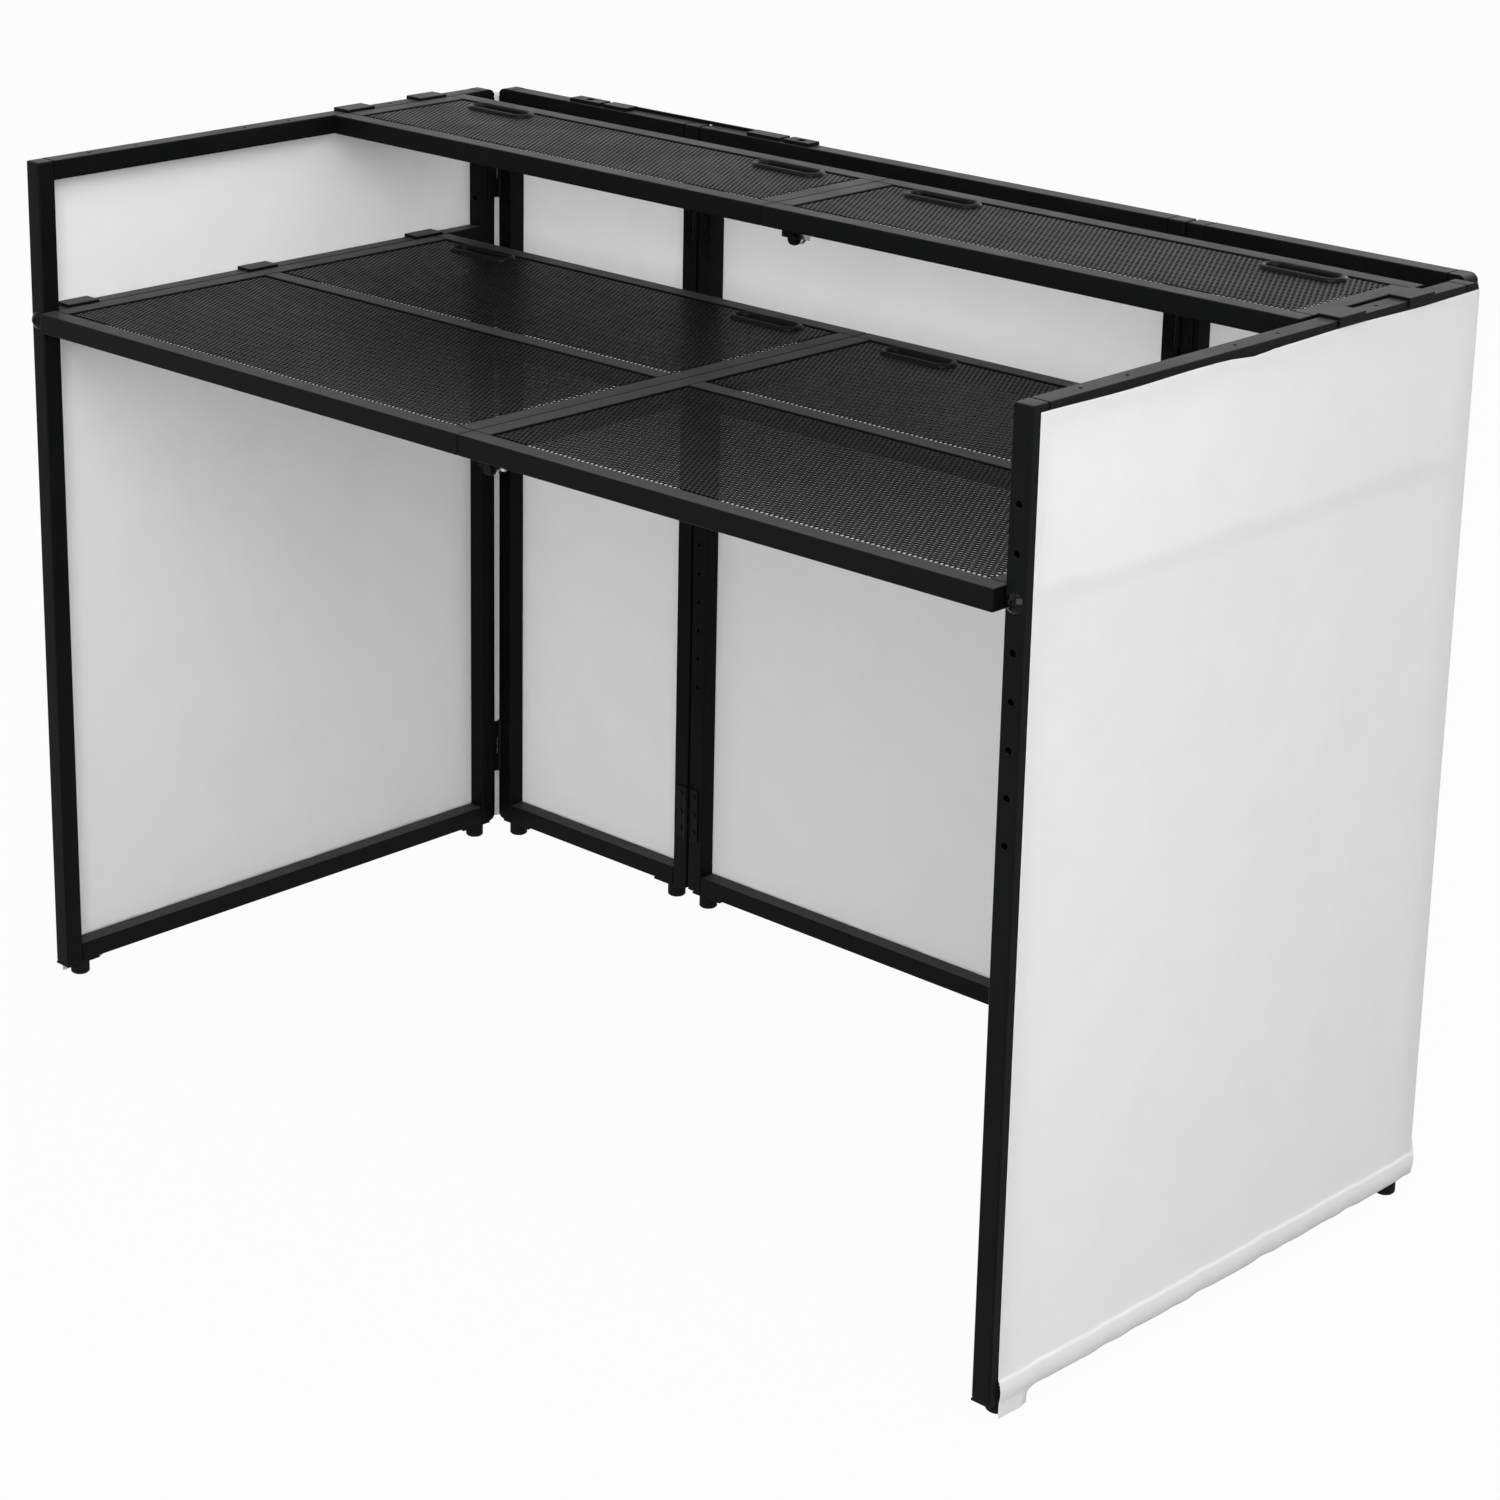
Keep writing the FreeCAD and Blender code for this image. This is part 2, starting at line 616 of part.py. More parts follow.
def butt_hinges():
    """Upper and lower butt hinges on four upright lines: one at each corner of the U, and one at each
    end of the middle frame. Every barrel is on the inside."""
    pins = []
    wing_leaves = []
    centre_leaves = []
    corner_leaves = []
    front_screws = []
    barrel_y = "%s - %s" % (front_in_y, d.knuckle_radius)
    front_leaf = ("y", ("%s - %s" % (front_in_y, d.leaf_thickness), front_in_y))
    leaf_face_y = "%s - %s" % (front_in_y, d.leaf_thickness)

    def screws(words, along, face, inwards, x, y, middle_z):
        return [hinge_screw("%s screw %d" % (words, row + len(SCREW_ROWS)), along, face, inwards, x, y,
                            "%s + (%d) * %s" % (middle_z, row, d.screw_pitch)) for row in SCREW_ROWS]

    for label, side in SIDES.items():
        side_leaves = []
        side_screws = []
        for level, middle_z in zip(("lower", "upper"), hinge_middles):
            words = "%s %s" % (label, level)
            corner_x = at_side("%s - %s" % (inner_x, d.knuckle_radius), side)
            pins.append(hinge_pin(words + " corner pin", corner_x, barrel_y, middle_z))
            side_leaf = ("x", on_side(("%s - %s" % (inner_x, d.leaf_thickness), inner_x), side))
            leaf, screw_y = hinge_leaf(words + " side leaf", corner_x, barrel_y, middle_z, True, side_leaf,
                                       "-1")
            side_leaves.append(leaf)
            leaf_face_x = at_side("%s - %s" % (inner_x, d.leaf_thickness), side)
            side_screws += screws(words + " side", "x", leaf_face_x, side, None, screw_y, middle_z)
            leaf, screw_x = hinge_leaf(words + " wing leaf", corner_x, barrel_y, middle_z, False,
                                       front_leaf, str(-side))
            corner_leaves.append(leaf)
            front_screws += screws(words + " wing", "y", leaf_face_y, 1, screw_x, None, middle_z)

            seam_x = at_side("(%s + %s) / 2" % (centre_end_x, wing_start_x), side)
            pins.append(hinge_pin(words + " seam pin", seam_x, barrel_y, middle_z))
            leaf, screw_x = hinge_leaf(words + " outer leaf", seam_x, barrel_y, middle_z, True, front_leaf,
                                       str(side))
            wing_leaves.append(leaf)
            front_screws += screws(words + " outer", "y", leaf_face_y, 1, screw_x, None, middle_z)
            leaf, screw_x = hinge_leaf(words + " centre leaf", seam_x, barrel_y, middle_z, False,
                                       front_leaf, str(-side))
            centre_leaves.append(leaf)
            front_screws += screws(words + " centre", "y", leaf_face_y, 1, screw_x, None, middle_z)
        node(label + "_side_hinge_leaves", side_leaves)
        node(label + "_side_hinge_screws", side_screws)
    node("frame_hinge_pins", pins)
    node("corner_hinge_leaves", corner_leaves)
    node("wing_hinge_leaves", wing_leaves)
    node("centre_hinge_leaves", centre_leaves)
    node("front_hinge_screws", front_screws)


def joint_bars():
    """Two-piece clips on the outer edge of the top rails, one near the middle of the left wing and one on
    the centre frame. A bar on the same edge joins the two pieces that face each other across the hinges."""
    y = ("%s - %s" % (front_out_y, d.joint_clip_depth), front_out_y)
    z = (top_z, "%s + %s" % (top_z, d.joint_clip_height))
    half_gap = "%s / 2" % d.joint_bar_gap
    wing_spot = "-(%s + %s)" % (wing_start_x, d.joint_wing_inset)
    centre_spot = "-(%s - %s)" % (centre_end_x, d.joint_inset)
    pairs = []
    for middle in (wing_spot, centre_spot):
        left_end = "%s - %s" % (middle, half_gap)
        right_start = "%s + %s" % (middle, half_gap)
        pairs.append((("%s - %s" % (left_end, d.joint_clip_length), left_end),
                      (right_start, "%s + %s" % (right_start, d.joint_bar_block))))
    (first_long, first_short), (second_long, second_short) = pairs
    strip = block("joint strip", (first_short[0], second_long[1]),
                  ("%s - %s" % (front_out_y, d.joint_bar_thickness), front_out_y),
                  (top_z, "%s + %s" % (top_z, d.joint_bar_height)))
    start = block("joint bar start", first_short, y, z)
    end = block("joint bar end", second_long, y, z)
    node("joint_bars", [fused("joint bar", [strip, start, end])])
    clips = []
    for words, x in (("wing", first_long), ("centre", second_short)):
        slot_x = "(%s + %s) / 2" % x
        slot = block(words + " clip slot",
                     ("%s - %s" % (slot_x, d.joint_clip_slot), "%s + %s" % (slot_x, d.joint_clip_slot)),
                     within(y, d.joint_clip_slot), beyond(z, d.overrun))
        clips.append(cut(words + " clip", block(words + " clip body", x, y, z), [slot]))
    node("joint_bar_clips", clips)


def scrims():
    """Stretch fabric on the outer faces, with a hem turned in under the bottom rails between the foot
    plates, and a taut strip across the open corner outside each corner hinge."""
    high = "%s - %s" % (top_z, d.scrim_drop)
    hem_z = ("%s - %s" % (low_z, d.scrim_thickness), low_z)
    cloth_z = (hem_z[0], high)
    front_cloth_y = (front_out_y, "%s + %s" % (front_out_y, d.scrim_thickness))
    front = [block("front cloth", ("-(%s)" % wing_end_x, wing_end_x), front_cloth_y, cloth_z)]
    clear = "%s + %s" % (d.corner_radius, d.plate_length)
    spans = (("left wing", opposite((wing_start_x, wing_end_x))),
             ("centre", ("-(%s)" % centre_end_x, centre_end_x)), ("right wing", (wing_start_x, wing_end_x)))
    for words, x in spans:
        front.append(block(words + " hem", within(x, "(%s)" % clear),
                           ("%s - %s" % (front_out_y, d.scrim_hem), front_cloth_y[1]), hem_z))
    node("front_scrim", [fused("front scrim cloth", front)])
    for label, side in SIDES.items():
        cloth_x = (outer_x, "%s + %s" % (outer_x, d.scrim_thickness))
        cloth = block(label + " cloth", on_side(cloth_x, side),
                      ("%s + %s" % (near_y, d.scrim_margin), far_y), cloth_z)
        hem = block(label + " hem", on_side(("%s - %s" % (outer_x, d.scrim_hem), cloth_x[1]), side),
                    ("%s + %s" % (near_y, d.plate_length), "%s - (%s)" % (far_y, clear)), hem_z)
        node(label + "_side_scrim", [fused(label + " side scrim cloth", [cloth, hem])])
        across = "(%s - %s)" % (outer_x, wing_end_x)
        along = "(%s - %s)" % (front_out_y, far_y)
        corner = doc.addObject("Part::Box", new_name(label + " corner"))
        corner.setExpression("Length", "sqrt(%s * %s + %s * %s)" % (across, across, along, along))
        corner.setExpression("Width", d.scrim_thickness)
        corner.setExpression("Height", "%s - (%s)" % (cloth_z[1], cloth_z[0]))
        corner.Placement = FreeCAD.Placement(FreeCAD.Vector(), FreeCAD.Rotation(FreeCAD.Vector(0, 0, 1), 1))
        corner.setExpression("Placement.Rotation.Angle", "%d * atan(%s / %s)" % (-side, along, across))
        if side > 0:
            put(corner, wing_end_x, front_out_y, cloth_z[0])
        else:
            put(corner, "-(%s)" % outer_x, far_y, cloth_z[0])
        node(label + "_corner_scrim", [corner])


def oval(name, middle_x, middle_y, length, width, z):
    """A slot-shaped solid, long along X."""
    reach = "((%s) - (%s)) / 2" % (length, width)
    radius = "(%s) / 2" % width
    ends = ("%s - %s" % (middle_x, reach), "%s + %s" % (middle_x, reach))
    return fused(name, [
        block(name + " middle", ends, ("%s - %s" % (middle_y, radius), "%s + %s" % (middle_y, radius)), z),
        rod(name + " start", "z", radius, ends[0], middle_y, z),
        rod(name + " end", "z", radius, ends[1], middle_y, z),
    ])


def grommet(name, x, y, sheet_top):
    """A cable grommet: a flat oval rim on the sheet and a skirt through the sheet's slot."""
    slot_length = "%s - 2 * %s" % (d.grommet_length, d.grommet_rim)
    slot_width = "%s - 2 * %s" % (d.grommet_width, d.grommet_rim)
    skirt_length = "%s + 2 * %s" % (slot_length, d.grommet_wall)
    skirt_width = "%s + 2 * %s" % (slot_width, d.grommet_wall)
    top = "%s + %s" % (sheet_top, d.grommet_height)
    bottom = "%s - %s - %s" % (sheet_top, d.sheet_thickness, d.grommet_skirt)
    body = fused(name + " body", [
        oval(name + " rim", x, y, d.grommet_length, d.grommet_width, (sheet_top, top)),
        oval(name + " skirt", x, y, skirt_length, skirt_width, (bottom, top)),
    ])
    return cut(name, body, [oval(name + " slot", x, y, slot_length, slot_width,
                                 beyond((bottom, top), d.overrun))])


def sheet_slot(name, x, y, sheet_z):
    wall = "2 * (%s + %s)" % (d.grommet_wall, d.screw_clearance)
    length = "%s - 2 * %s + %s" % (d.grommet_length, d.grommet_rim, wall)
    width = "%s - 2 * %s + %s" % (d.grommet_width, d.grommet_rim, wall)
    return oval(name, x, y, length, width, beyond(sheet_z, d.overrun))


def punched_openings(name, x, y, z, rows):
    """A plain grid of openings through a sheet, which stands for its fine staggered holes."""
    margin_share = (1 - OPENING_SHARE) / 2
    openings = []
    for row in range(rows):
        row_shares = ((row + margin_share) / rows, (row + 1 - margin_share) / rows)
        for column in range(OPENING_COLUMNS):
            column_shares = ((column + margin_share) / OPENING_COLUMNS,
                             (column + 1 - margin_share) / OPENING_COLUMNS)
            openings.append(block("%s opening %d %d" % (name, row, column), between(x, column_shares),
                                  between(y, row_shares), beyond(z, d.overrun)))
    return openings


def between(span, shares):
    """The part of a span from one share of it to another."""
    start, end = span
    return tuple("%s + ((%s) - (%s)) * %.6f" % (start, end, start, share) for share in shares)


def half_top(label, side, y, top, divider, grommet_back):
    """One half of the table or the shelf: tubes round recessed sheets, with two grommets."""
    x = on_side(("%s / 2" % d.seam_gap, item_end_x), side)
    z = ("%s - %s" % (top, d.tube_width), top)
    bars = [("near bar", "x", x, (y[0], "%s + %s" % (y[0], d.tube_width))),
            ("far bar", "x", x, ("%s - %s" % (y[1], d.tube_width), y[1])),
            ("start bar", "y", (x[0], "%s + %s" % (x[0], d.tube_width)), within(y, d.tube_width)),
            ("end bar", "y", ("%s - %s" % (x[1], d.tube_width), x[1]), within(y, d.tube_width))]
    inner = within(x, d.tube_width)
    fields = [("sheet", within(y, d.tube_width))]
    if divider:
        middle = "%s + %s" % (y[0], divider)
        across = ("%s - %s / 2" % (middle, d.tube_width), "%s + %s / 2" % (middle, d.tube_width))
        bars.append(("divider", "x", inner, across))
        fields = [("near_sheet", ("%s + %s" % (y[0], d.tube_width), across[0])),
                  ("far_sheet", (across[1], "%s - %s" % (y[1], d.tube_width)))]
    node(label + "_frame", [tube("%s %s" % (label, words), axis, bar_x, bar_y, z, words in CAPPED_BARS)
                            for words, axis, bar_x, bar_y in bars])
    sheet_top = "%s - %s" % (top, d.sheet_recess)
    sheet_z = ("%s - %s" % (sheet_top, d.sheet_thickness), sheet_top)
    grommet_y = "%s - %s" % (y[1], grommet_back)
    places = ("%s + %s" % (x[0], d.grommet_inset), "%s - %s" % (x[1], d.grommet_inset))
    for words, field_y in fields:
        name = "%s %s" % (label, words)
        plate = block(name + " plate", inner, field_y, sheet_z)
        slots = []
        punched_y = field_y
        if words != "near_sheet":
            punched_y = (field_y[0], "%s - %s / 2 - %s" % (grommet_y, d.grommet_width, d.grommet_rim))
            slots = [sheet_slot("%s slot %d" % (label, number), place, grommet_y, sheet_z)
                     for number, place in enumerate(places)]
        openings = punched_openings(name, inner, punched_y, sheet_z, OPENING_ROWS[words])
        node("%s_%s" % (label, words), [cut(name, plate, slots + openings)])
    node(label + "_grommets", [grommet("%s grommet %d" % (label, number), place, grommet_y, sheet_top)
                               for number, place in enumerate(places)])


def seam_ear(name, side, y, top):
    """A hinge ear under the tube at the seam, with a round end on the hinge's axis."""
    axis_z = "%s - %s" % (top, d.seam_axis_drop)
    x = on_side(("%s / 2" % d.seam_gap, d.ear_width), side)
    web = block(name + " web", x, y, (axis_z, "%s - %s" % (top, d.tube_width)))
    eye = rod(name + " eye", "y", d.ear_radius, "0", y, axis_z)
    radius = "%s + %s" % (d.seam_pin_radius, d.running_clearance)
    bore = rod(name + " bore", "y", radius, "0", beyond(y, d.overrun), axis_z)
    return cut(name, fused(name + " solid", [web, eye]), [bore])


def seam_hinges(label, y, top, inset):
    """Two hinges under a seam: two ears on the left half, one ear between them on the right half, and a
    headed pin that stays with the left half."""
    left_ears = []
    right_ears = []
    pins = []
    axis_z = "%s - %s" % (top, d.seam_axis_drop)
    middles = (("near", "%s + %s" % (y[0], inset)), ("far", "%s - %s" % (y[1], inset)))
    for place, middle in middles:
        words = "%s %s seam" % (label, place)
        half_ear = "%s / 2" % d.ear_thickness
        inner = ("%s - %s" % (middle, half_ear), "%s + %s" % (middle, half_ear))
        reach = "(%s + %s)" % (d.ear_gap, d.ear_thickness)
        before = ("%s - %s" % (inner[0], reach), "%s - %s" % (inner[0], d.ear_gap))
        after = ("%s + %s" % (inner[1], d.ear_gap), "%s + %s" % (inner[1], reach))
        right_ears.append(seam_ear(words + " right ear", 1, inner, top))
        left_ears.append(seam_ear(words + " left ear 1", -1, before, top))
        left_ears.append(seam_ear(words + " left ear 2", -1, after, top))
        pins.append(fused(words + " pin", [
            rod(words + " pin shaft", "y", d.seam_pin_radius, "0", (before[0], after[1]), axis_z),
            rod(words + " pin head", "y", d.seam_head_radius, "0",
                ("%s - %s" % (before[0], d.seam_head_height), before[0]), axis_z),
            rod(words + " pin nut", "y", d.seam_head_radius, "0",
                (after[1], "%s + %s" % (after[1], d.seam_head_height)), axis_z),
        ]))
    node(label + "_left_seam_ears", left_ears)
    node(label + "_right_seam_ears", right_ears)
    node(label + "_seam_pins", pins)


centre_x = ("-(%s)" % centre_end_x, centre_end_x)
right_wing_x = (wing_start_x, wing_end_x)
left_wing_x = opposite(right_wing_x)
front_frames = (("left_wing", left_wing_x), ("centre", centre_x), ("right_wing", right_wing_x))
for frame_label, frame_x in front_frames:
    front_frame(frame_label, frame_x)
front_feet(front_frames)
for side_label, side_sign in SIDES.items():
    rail_span = side_frame(side_label, side_sign)
    support_rail(side_label, side_sign, rail_span)
    hangers(side_label, side_sign)
    side_feet(side_label, side_sign)
butt_hinges()
joint_bars()
scrims()
for side_label, side_sign in SIDES.items():
    half_top("table_" + side_label, side_sign, table_y, table_z, d.table_divider, d.table_grommet_back)
    half_top("shelf_" + side_label, side_sign, shelf_y, shelf_z, None, d.shelf_grommet_back)
seam_hinges("table", table_y, table_z, d.table_hinge_inset)
seam_hinges("shelf", shelf_y, shelf_z, d.shelf_hinge_inset)

# Check every feature and every sub-part, then write one file for each sub-part.
doc.recompute()
failed = [item.Label for item in doc.Objects if "Invalid" in item.State or "Error" in item.State]
if failed:
    raise RuntimeError("failed features: " + ", ".join(failed))
for label, item in nodes.items():
    if item.Shape.isNull() or not item.Shape.isValid():
        raise RuntimeError("bad shape: " + label)
os.makedirs("parts", exist_ok=True)
for label, item in nodes.items():
    item.Shape.exportStep("parts/%s.step" % label)
    print(label, len(item.Shape.Solids), "solids", round(item.Shape.Volume), "mm3")
print(len(nodes), "nodes")
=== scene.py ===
import json
import math

import bmesh
import bpy
from mathutils import Matrix, Vector

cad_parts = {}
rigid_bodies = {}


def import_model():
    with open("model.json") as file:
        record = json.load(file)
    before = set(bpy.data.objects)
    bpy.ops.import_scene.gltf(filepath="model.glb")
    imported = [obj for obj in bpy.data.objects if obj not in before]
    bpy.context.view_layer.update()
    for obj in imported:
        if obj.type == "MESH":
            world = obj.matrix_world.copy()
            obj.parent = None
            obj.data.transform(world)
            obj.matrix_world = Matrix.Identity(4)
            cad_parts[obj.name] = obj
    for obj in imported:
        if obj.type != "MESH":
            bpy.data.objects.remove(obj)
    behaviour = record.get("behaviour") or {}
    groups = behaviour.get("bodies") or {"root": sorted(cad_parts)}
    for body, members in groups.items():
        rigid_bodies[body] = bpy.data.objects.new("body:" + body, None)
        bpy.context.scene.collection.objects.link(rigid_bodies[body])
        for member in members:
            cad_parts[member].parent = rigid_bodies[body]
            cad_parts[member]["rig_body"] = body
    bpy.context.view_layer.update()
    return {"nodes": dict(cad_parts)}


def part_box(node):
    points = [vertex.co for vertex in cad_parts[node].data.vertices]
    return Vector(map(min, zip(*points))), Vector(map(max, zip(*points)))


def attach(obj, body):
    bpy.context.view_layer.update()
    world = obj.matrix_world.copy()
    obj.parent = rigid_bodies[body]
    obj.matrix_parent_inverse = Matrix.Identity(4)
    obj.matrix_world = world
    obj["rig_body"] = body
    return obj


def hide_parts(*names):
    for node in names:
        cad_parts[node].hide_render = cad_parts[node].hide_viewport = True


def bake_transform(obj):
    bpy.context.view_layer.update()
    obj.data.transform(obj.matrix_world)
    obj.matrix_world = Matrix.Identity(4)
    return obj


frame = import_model()


# Posts, rails and support rails: square steel tube, cut, drilled and welded into five upright frames
# and powder coated. The tube is cold rolled, so its long edges are rounded. What faces up is painted
# paler: a little dust, and a painted sheen for the light that the tops catch.
MM = 0.001
tube_edge = 2.2 * MM
shortest_rolled_edge = 20 * MM
# How much paler the tubes' upward faces are painted: dust and painted sheen.
tube_dust_and_sheen = 0.12
# The sockets of a Mix node that mixes colours.
share_in, first_in, second_in, colour_out = 0, 6, 7, 2


def linear(code):
    """An sRGB hex colour as linear values."""
    shares = [int(code[at:at + 2], 16) / 255 for at in (1, 3, 5)]
    return tuple(s / 12.92 if s <= 0.04045 else ((s + 0.055) / 1.055) ** 2.4
                 for s in shares) + (1.0,)


def add(tree, kind, inputs=None, **settings):
    """Adds one node. An input that is a socket is linked, and any other value is set on the node."""
    made = tree.nodes.new(kind)
    for name, value in settings.items():
        setattr(made, name, value)
    for name, value in (inputs or {}).items():
        if isinstance(value, bpy.types.NodeSocket):
            tree.links.new(value, made.inputs[name])
        else:
            made.inputs[name].default_value = value
    return made


def new_finish(name):
    """An empty material, and its tree."""
    made = bpy.data.materials.new(name)
    made.use_nodes = True
    made.node_tree.nodes.clear()
    return made, made.node_tree


def coating(name, dark, pale, grit, rough, metallic=0.0, bite=0.35, shine=0.07):
    """A painted, moulded or plated skin: a slow drift between two tones and two roughnesses, a fine
    grit in relief, and a pale grey film where the mesh's own attribute says that a face looks up:
    part dust, part a painted sheen that stands in for the light the tops catch."""
    # The pale grey mixed into faces that look up is part dust and part painted sheen on the tops.
    drift_size, grit_depth, dust_and_sheen_tone = 70 * MM, 0.06 * MM, "#8a8a89"
    noise_low, noise_high = 0.3, 0.7
    made, tree = new_finish(name)
    place = add(tree, "ShaderNodeTexCoord").outputs["Object"]
    drift = add(tree, "ShaderNodeTexNoise",
                {"Vector": place, "Scale": 1 / drift_size, "Detail": 4.0}).outputs[0]
    grain = add(tree, "ShaderNodeTexNoise",
                {"Vector": place, "Scale": 1 / grit, "Detail": 2.0}).outputs[0]
    tone = add(tree, "ShaderNodeMix",
               {share_in: drift, first_in: linear(dark), second_in: linear(pale)}, data_type="RGBA")
    upward = add(tree, "ShaderNodeAttribute", attribute_name="upward").outputs["Fac"]
    # Faces that look up are painted paler: a little dust, and a painted sheen for the light on the
    # tops.
    dust_and_sheen_mix = add(tree, "ShaderNodeMix",
                 {share_in: upward, first_in: tone.outputs[colour_out], second_in: linear(dust_and_sheen_tone)},
                 data_type="RGBA")
    dull = add(tree, "ShaderNodeMapRange",
               {"Value": drift, "From Min": noise_low, "From Max": noise_high,
                "To Min": rough[0], "To Max": rough[1]})
    relief = add(tree, "ShaderNodeBump",
                 {"Height": grain, "Strength": bite, "Distance": grit_depth})
    skin = add(tree, "ShaderNodeBsdfPrincipled",
               {"Base Color": dust_and_sheen_mix.outputs[colour_out], "Roughness": dull.outputs[0],
                "Metallic": metallic, "Specular IOR Level": shine, "Normal": relief.outputs[0]})
    add(tree, "ShaderNodeOutputMaterial", {"Surface": skin.outputs[0]})
    return made


def shown(name, mesh, finish):
    """Links a finished mesh as a piece, and gives it its finish."""
    piece = bpy.data.objects.new(name, mesh)
    bpy.context.scene.collection.objects.link(piece)
    if finish.name not in [m.name for m in mesh.materials if m]:
        mesh.materials.clear()
        mesh.materials.append(finish)
    return piece


def stands_in(node, ending, mesh, finish):
    """Shows a mesh in place of a node's own, on the same body."""
    piece = shown(node + ending, mesh, finish)
    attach(piece, frame["nodes"][node]["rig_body"])
    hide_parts(node)


def smooth(mesh, angle):
    """Smooth shading, with every edge sharper than the angle kept crisp."""
    mesh.polygons.foreach_set("use_smooth", [True] * len(mesh.polygons))
    mesh.set_sharp_from_angle(angle=math.radians(angle))


def applied(mesh, kind, values=None, **settings):
    """A plain mesh with one modifier carried out on it. The values are a node tree's named inputs."""
    holder = bpy.data.objects.new("holder", mesh)
    bpy.context.scene.collection.objects.link(holder)
    live = holder.modifiers.new("live", kind)
    for name, value in settings.items():
        setattr(live, name, value)
    for item in live.node_group.interface.items_tree if values else []:
        if item.in_out == "INPUT" and item.name in values:
            live[item.identifier] = values[item.name]
    view = bpy.context.evaluated_depsgraph_get()
    result = bpy.data.meshes.new_from_object(holder.evaluated_get(view))
    bpy.data.objects.remove(holder)
    return result


def turned_out(mesh):
    """Turns every face of a closed mesh outwards."""
    work = bmesh.new()
    work.from_mesh(mesh)
    bmesh.ops.recalc_face_normals(work, faces=work.faces)
    work.to_mesh(mesh)
    work.free()
    return mesh


def mark_upward(mesh, most):
    """Gives each face its share of dust and painted sheen: the most when level, none when steep."""
    falloff = 4
    shares = mesh.attributes.new("upward", "FLOAT", "FACE")
    shares.data.foreach_set("value", [most * max(face.normal.z, 0.0) ** falloff
                                      for face in mesh.polygons])


def solids_of(mesh):
    """The faces of each solid in a node, as lists of corners: a solid ends where no edge is open.
    A face that shrinks to a line when its corners are rounded is left out."""
    digits = 7
    spots = [tuple(round(c, digits) for c in v.co) for v in mesh.vertices]
    solids, faces, waiting = [], [], set()
    for face in mesh.polygons:
        corners = [spots[at] for at in face.vertices]
        if len(set(corners)) < len(corners):
            continue
        faces.append(corners)
        for edge in zip(corners, corners[1:] + corners[:1]):
            if edge[::-1] in waiting:
                waiting.remove(edge[::-1])
            else:
                waiting.add(edge)
        if not waiting:
            solids.append(faces)
            faces = []
    return solids + [faces]


def eased(node, radius, shortest, finish):
    """Stands in for a node with its long square edges rounded, as rolled tube and pressed strip have.
    The angles are in degrees."""
    flat_within, square_from, square_to, crisp_from = 1.5, 75, 105, 32
    work = bmesh.new()
    for faces in solids_of(frame["nodes"][node].data):
        spots = dict.fromkeys(spot for corners in faces for spot in corners)
        made = {spot: work.verts.new(spot) for spot in spots}
        for corners in faces:
            if not work.faces.get([made[spot] for spot in corners]):
                work.faces.new([made[spot] for spot in corners])
    bmesh.ops.dissolve_limit(work, angle_limit=math.radians(flat_within),
                             verts=work.verts, edges=work.edges)
    square = [e for e in work.edges
              if len(e.link_faces) == 2 and e.is_convex and e.calc_length() >= shortest
              and square_from < math.degrees(e.calc_face_angle()) < square_to]
    bmesh.ops.bevel(work, geom=square, offset=radius, offset_type="OFFSET", segments=3, profile=0.5,
                    affect="EDGES", clamp_overlap=True)
    bmesh.ops.triangulate(work, faces=[f for f in work.faces if len(f.verts) > 4])
    mesh = bpy.data.meshes.new(node + "_eased")
    work.to_mesh(mesh)
    work.free()
    smooth(mesh, crisp_from)
    mesh = applied(mesh, "WEIGHTED_NORMAL", keep_sharp=True)
    # Upward faces get their share of dust and painted sheen.
    mark_upward(mesh, tube_dust_and_sheen)
    stands_in(node, "_eased", mesh, finish)


# Powder coat is a baked skin of polyester: near black and satin, with a fine orange peel.
powder_coat = coating("black powder coated steel", "#08090a", "#0f1011", 0.9 * MM, (0.36, 0.5),
                      shine=0.05)
panels = ("left_wing_", "centre_", "right_wing_", "left_side_", "right_side_")
tube_nodes = [panel + kind for panel in panels for kind in ("posts", "rails")]
for node in tube_nodes + ["left_support_rail", "right_support_rail"]:
    eased(node, tube_edge, shortest_rolled_edge, powder_coat)


# Feet: round moulded rubber feet on studs, under thin steel plates that close the bottom corners of
# the frames. The plates have the frames' own coat.
plate_edge, shortest_plate_edge = 0.5 * MM, 12 * MM


def dressed(node, finish):
    """Gives a node that keeps its CAD mesh its finish."""
    materials = frame["nodes"][node].data.materials
    materials.clear()
    materials.append(finish)


# Moulded rubber is matt and a little grey, with a grain that breaks up what gleam there is.
foot_rubber = coating("matt black moulded rubber", "#101010", "#1d1c1b", 0.7 * MM, (0.7, 0.85),
                      bite=0.5)
for group in ("front", "left_side", "right_side"):
    dressed(group + "_feet", foot_rubber)
    eased(group + "_foot_plates", plate_edge, shortest_plate_edge, powder_coat)


# Butt hinges: pressed leaves with rolled knuckles on a pin, held by countersunk screws.
# Blackened steel is smoother than the coat on the tubes, so the barrels show a sharper gleam.
black_steel = coating("blackened steel", "#0a0a0b", "#17171a", 0.5 * MM, (0.28, 0.42), metallic=0.3)
for node in ("corner_hinge_leaves", "wing_hinge_leaves", "centre_hinge_leaves",
             "left_side_hinge_leaves", "right_side_hinge_leaves", "frame_hinge_pins",
             "front_hinge_screws", "left_side_hinge_screws", "right_side_hinge_screws"):
    dressed(node, black_steel)


# Bolts, hangers and joint bars: dome-headed machine screws with a cross recess, strip steel bent over
# the side rails and coated, and a flat bar with clips along the outer top edge of the front rails.
hanger_edge, shortest_hanger_edge = 1.0 * MM, 3 * MM
bar_edge, shortest_bar_edge = 0.7 * MM, 2.5 * MM
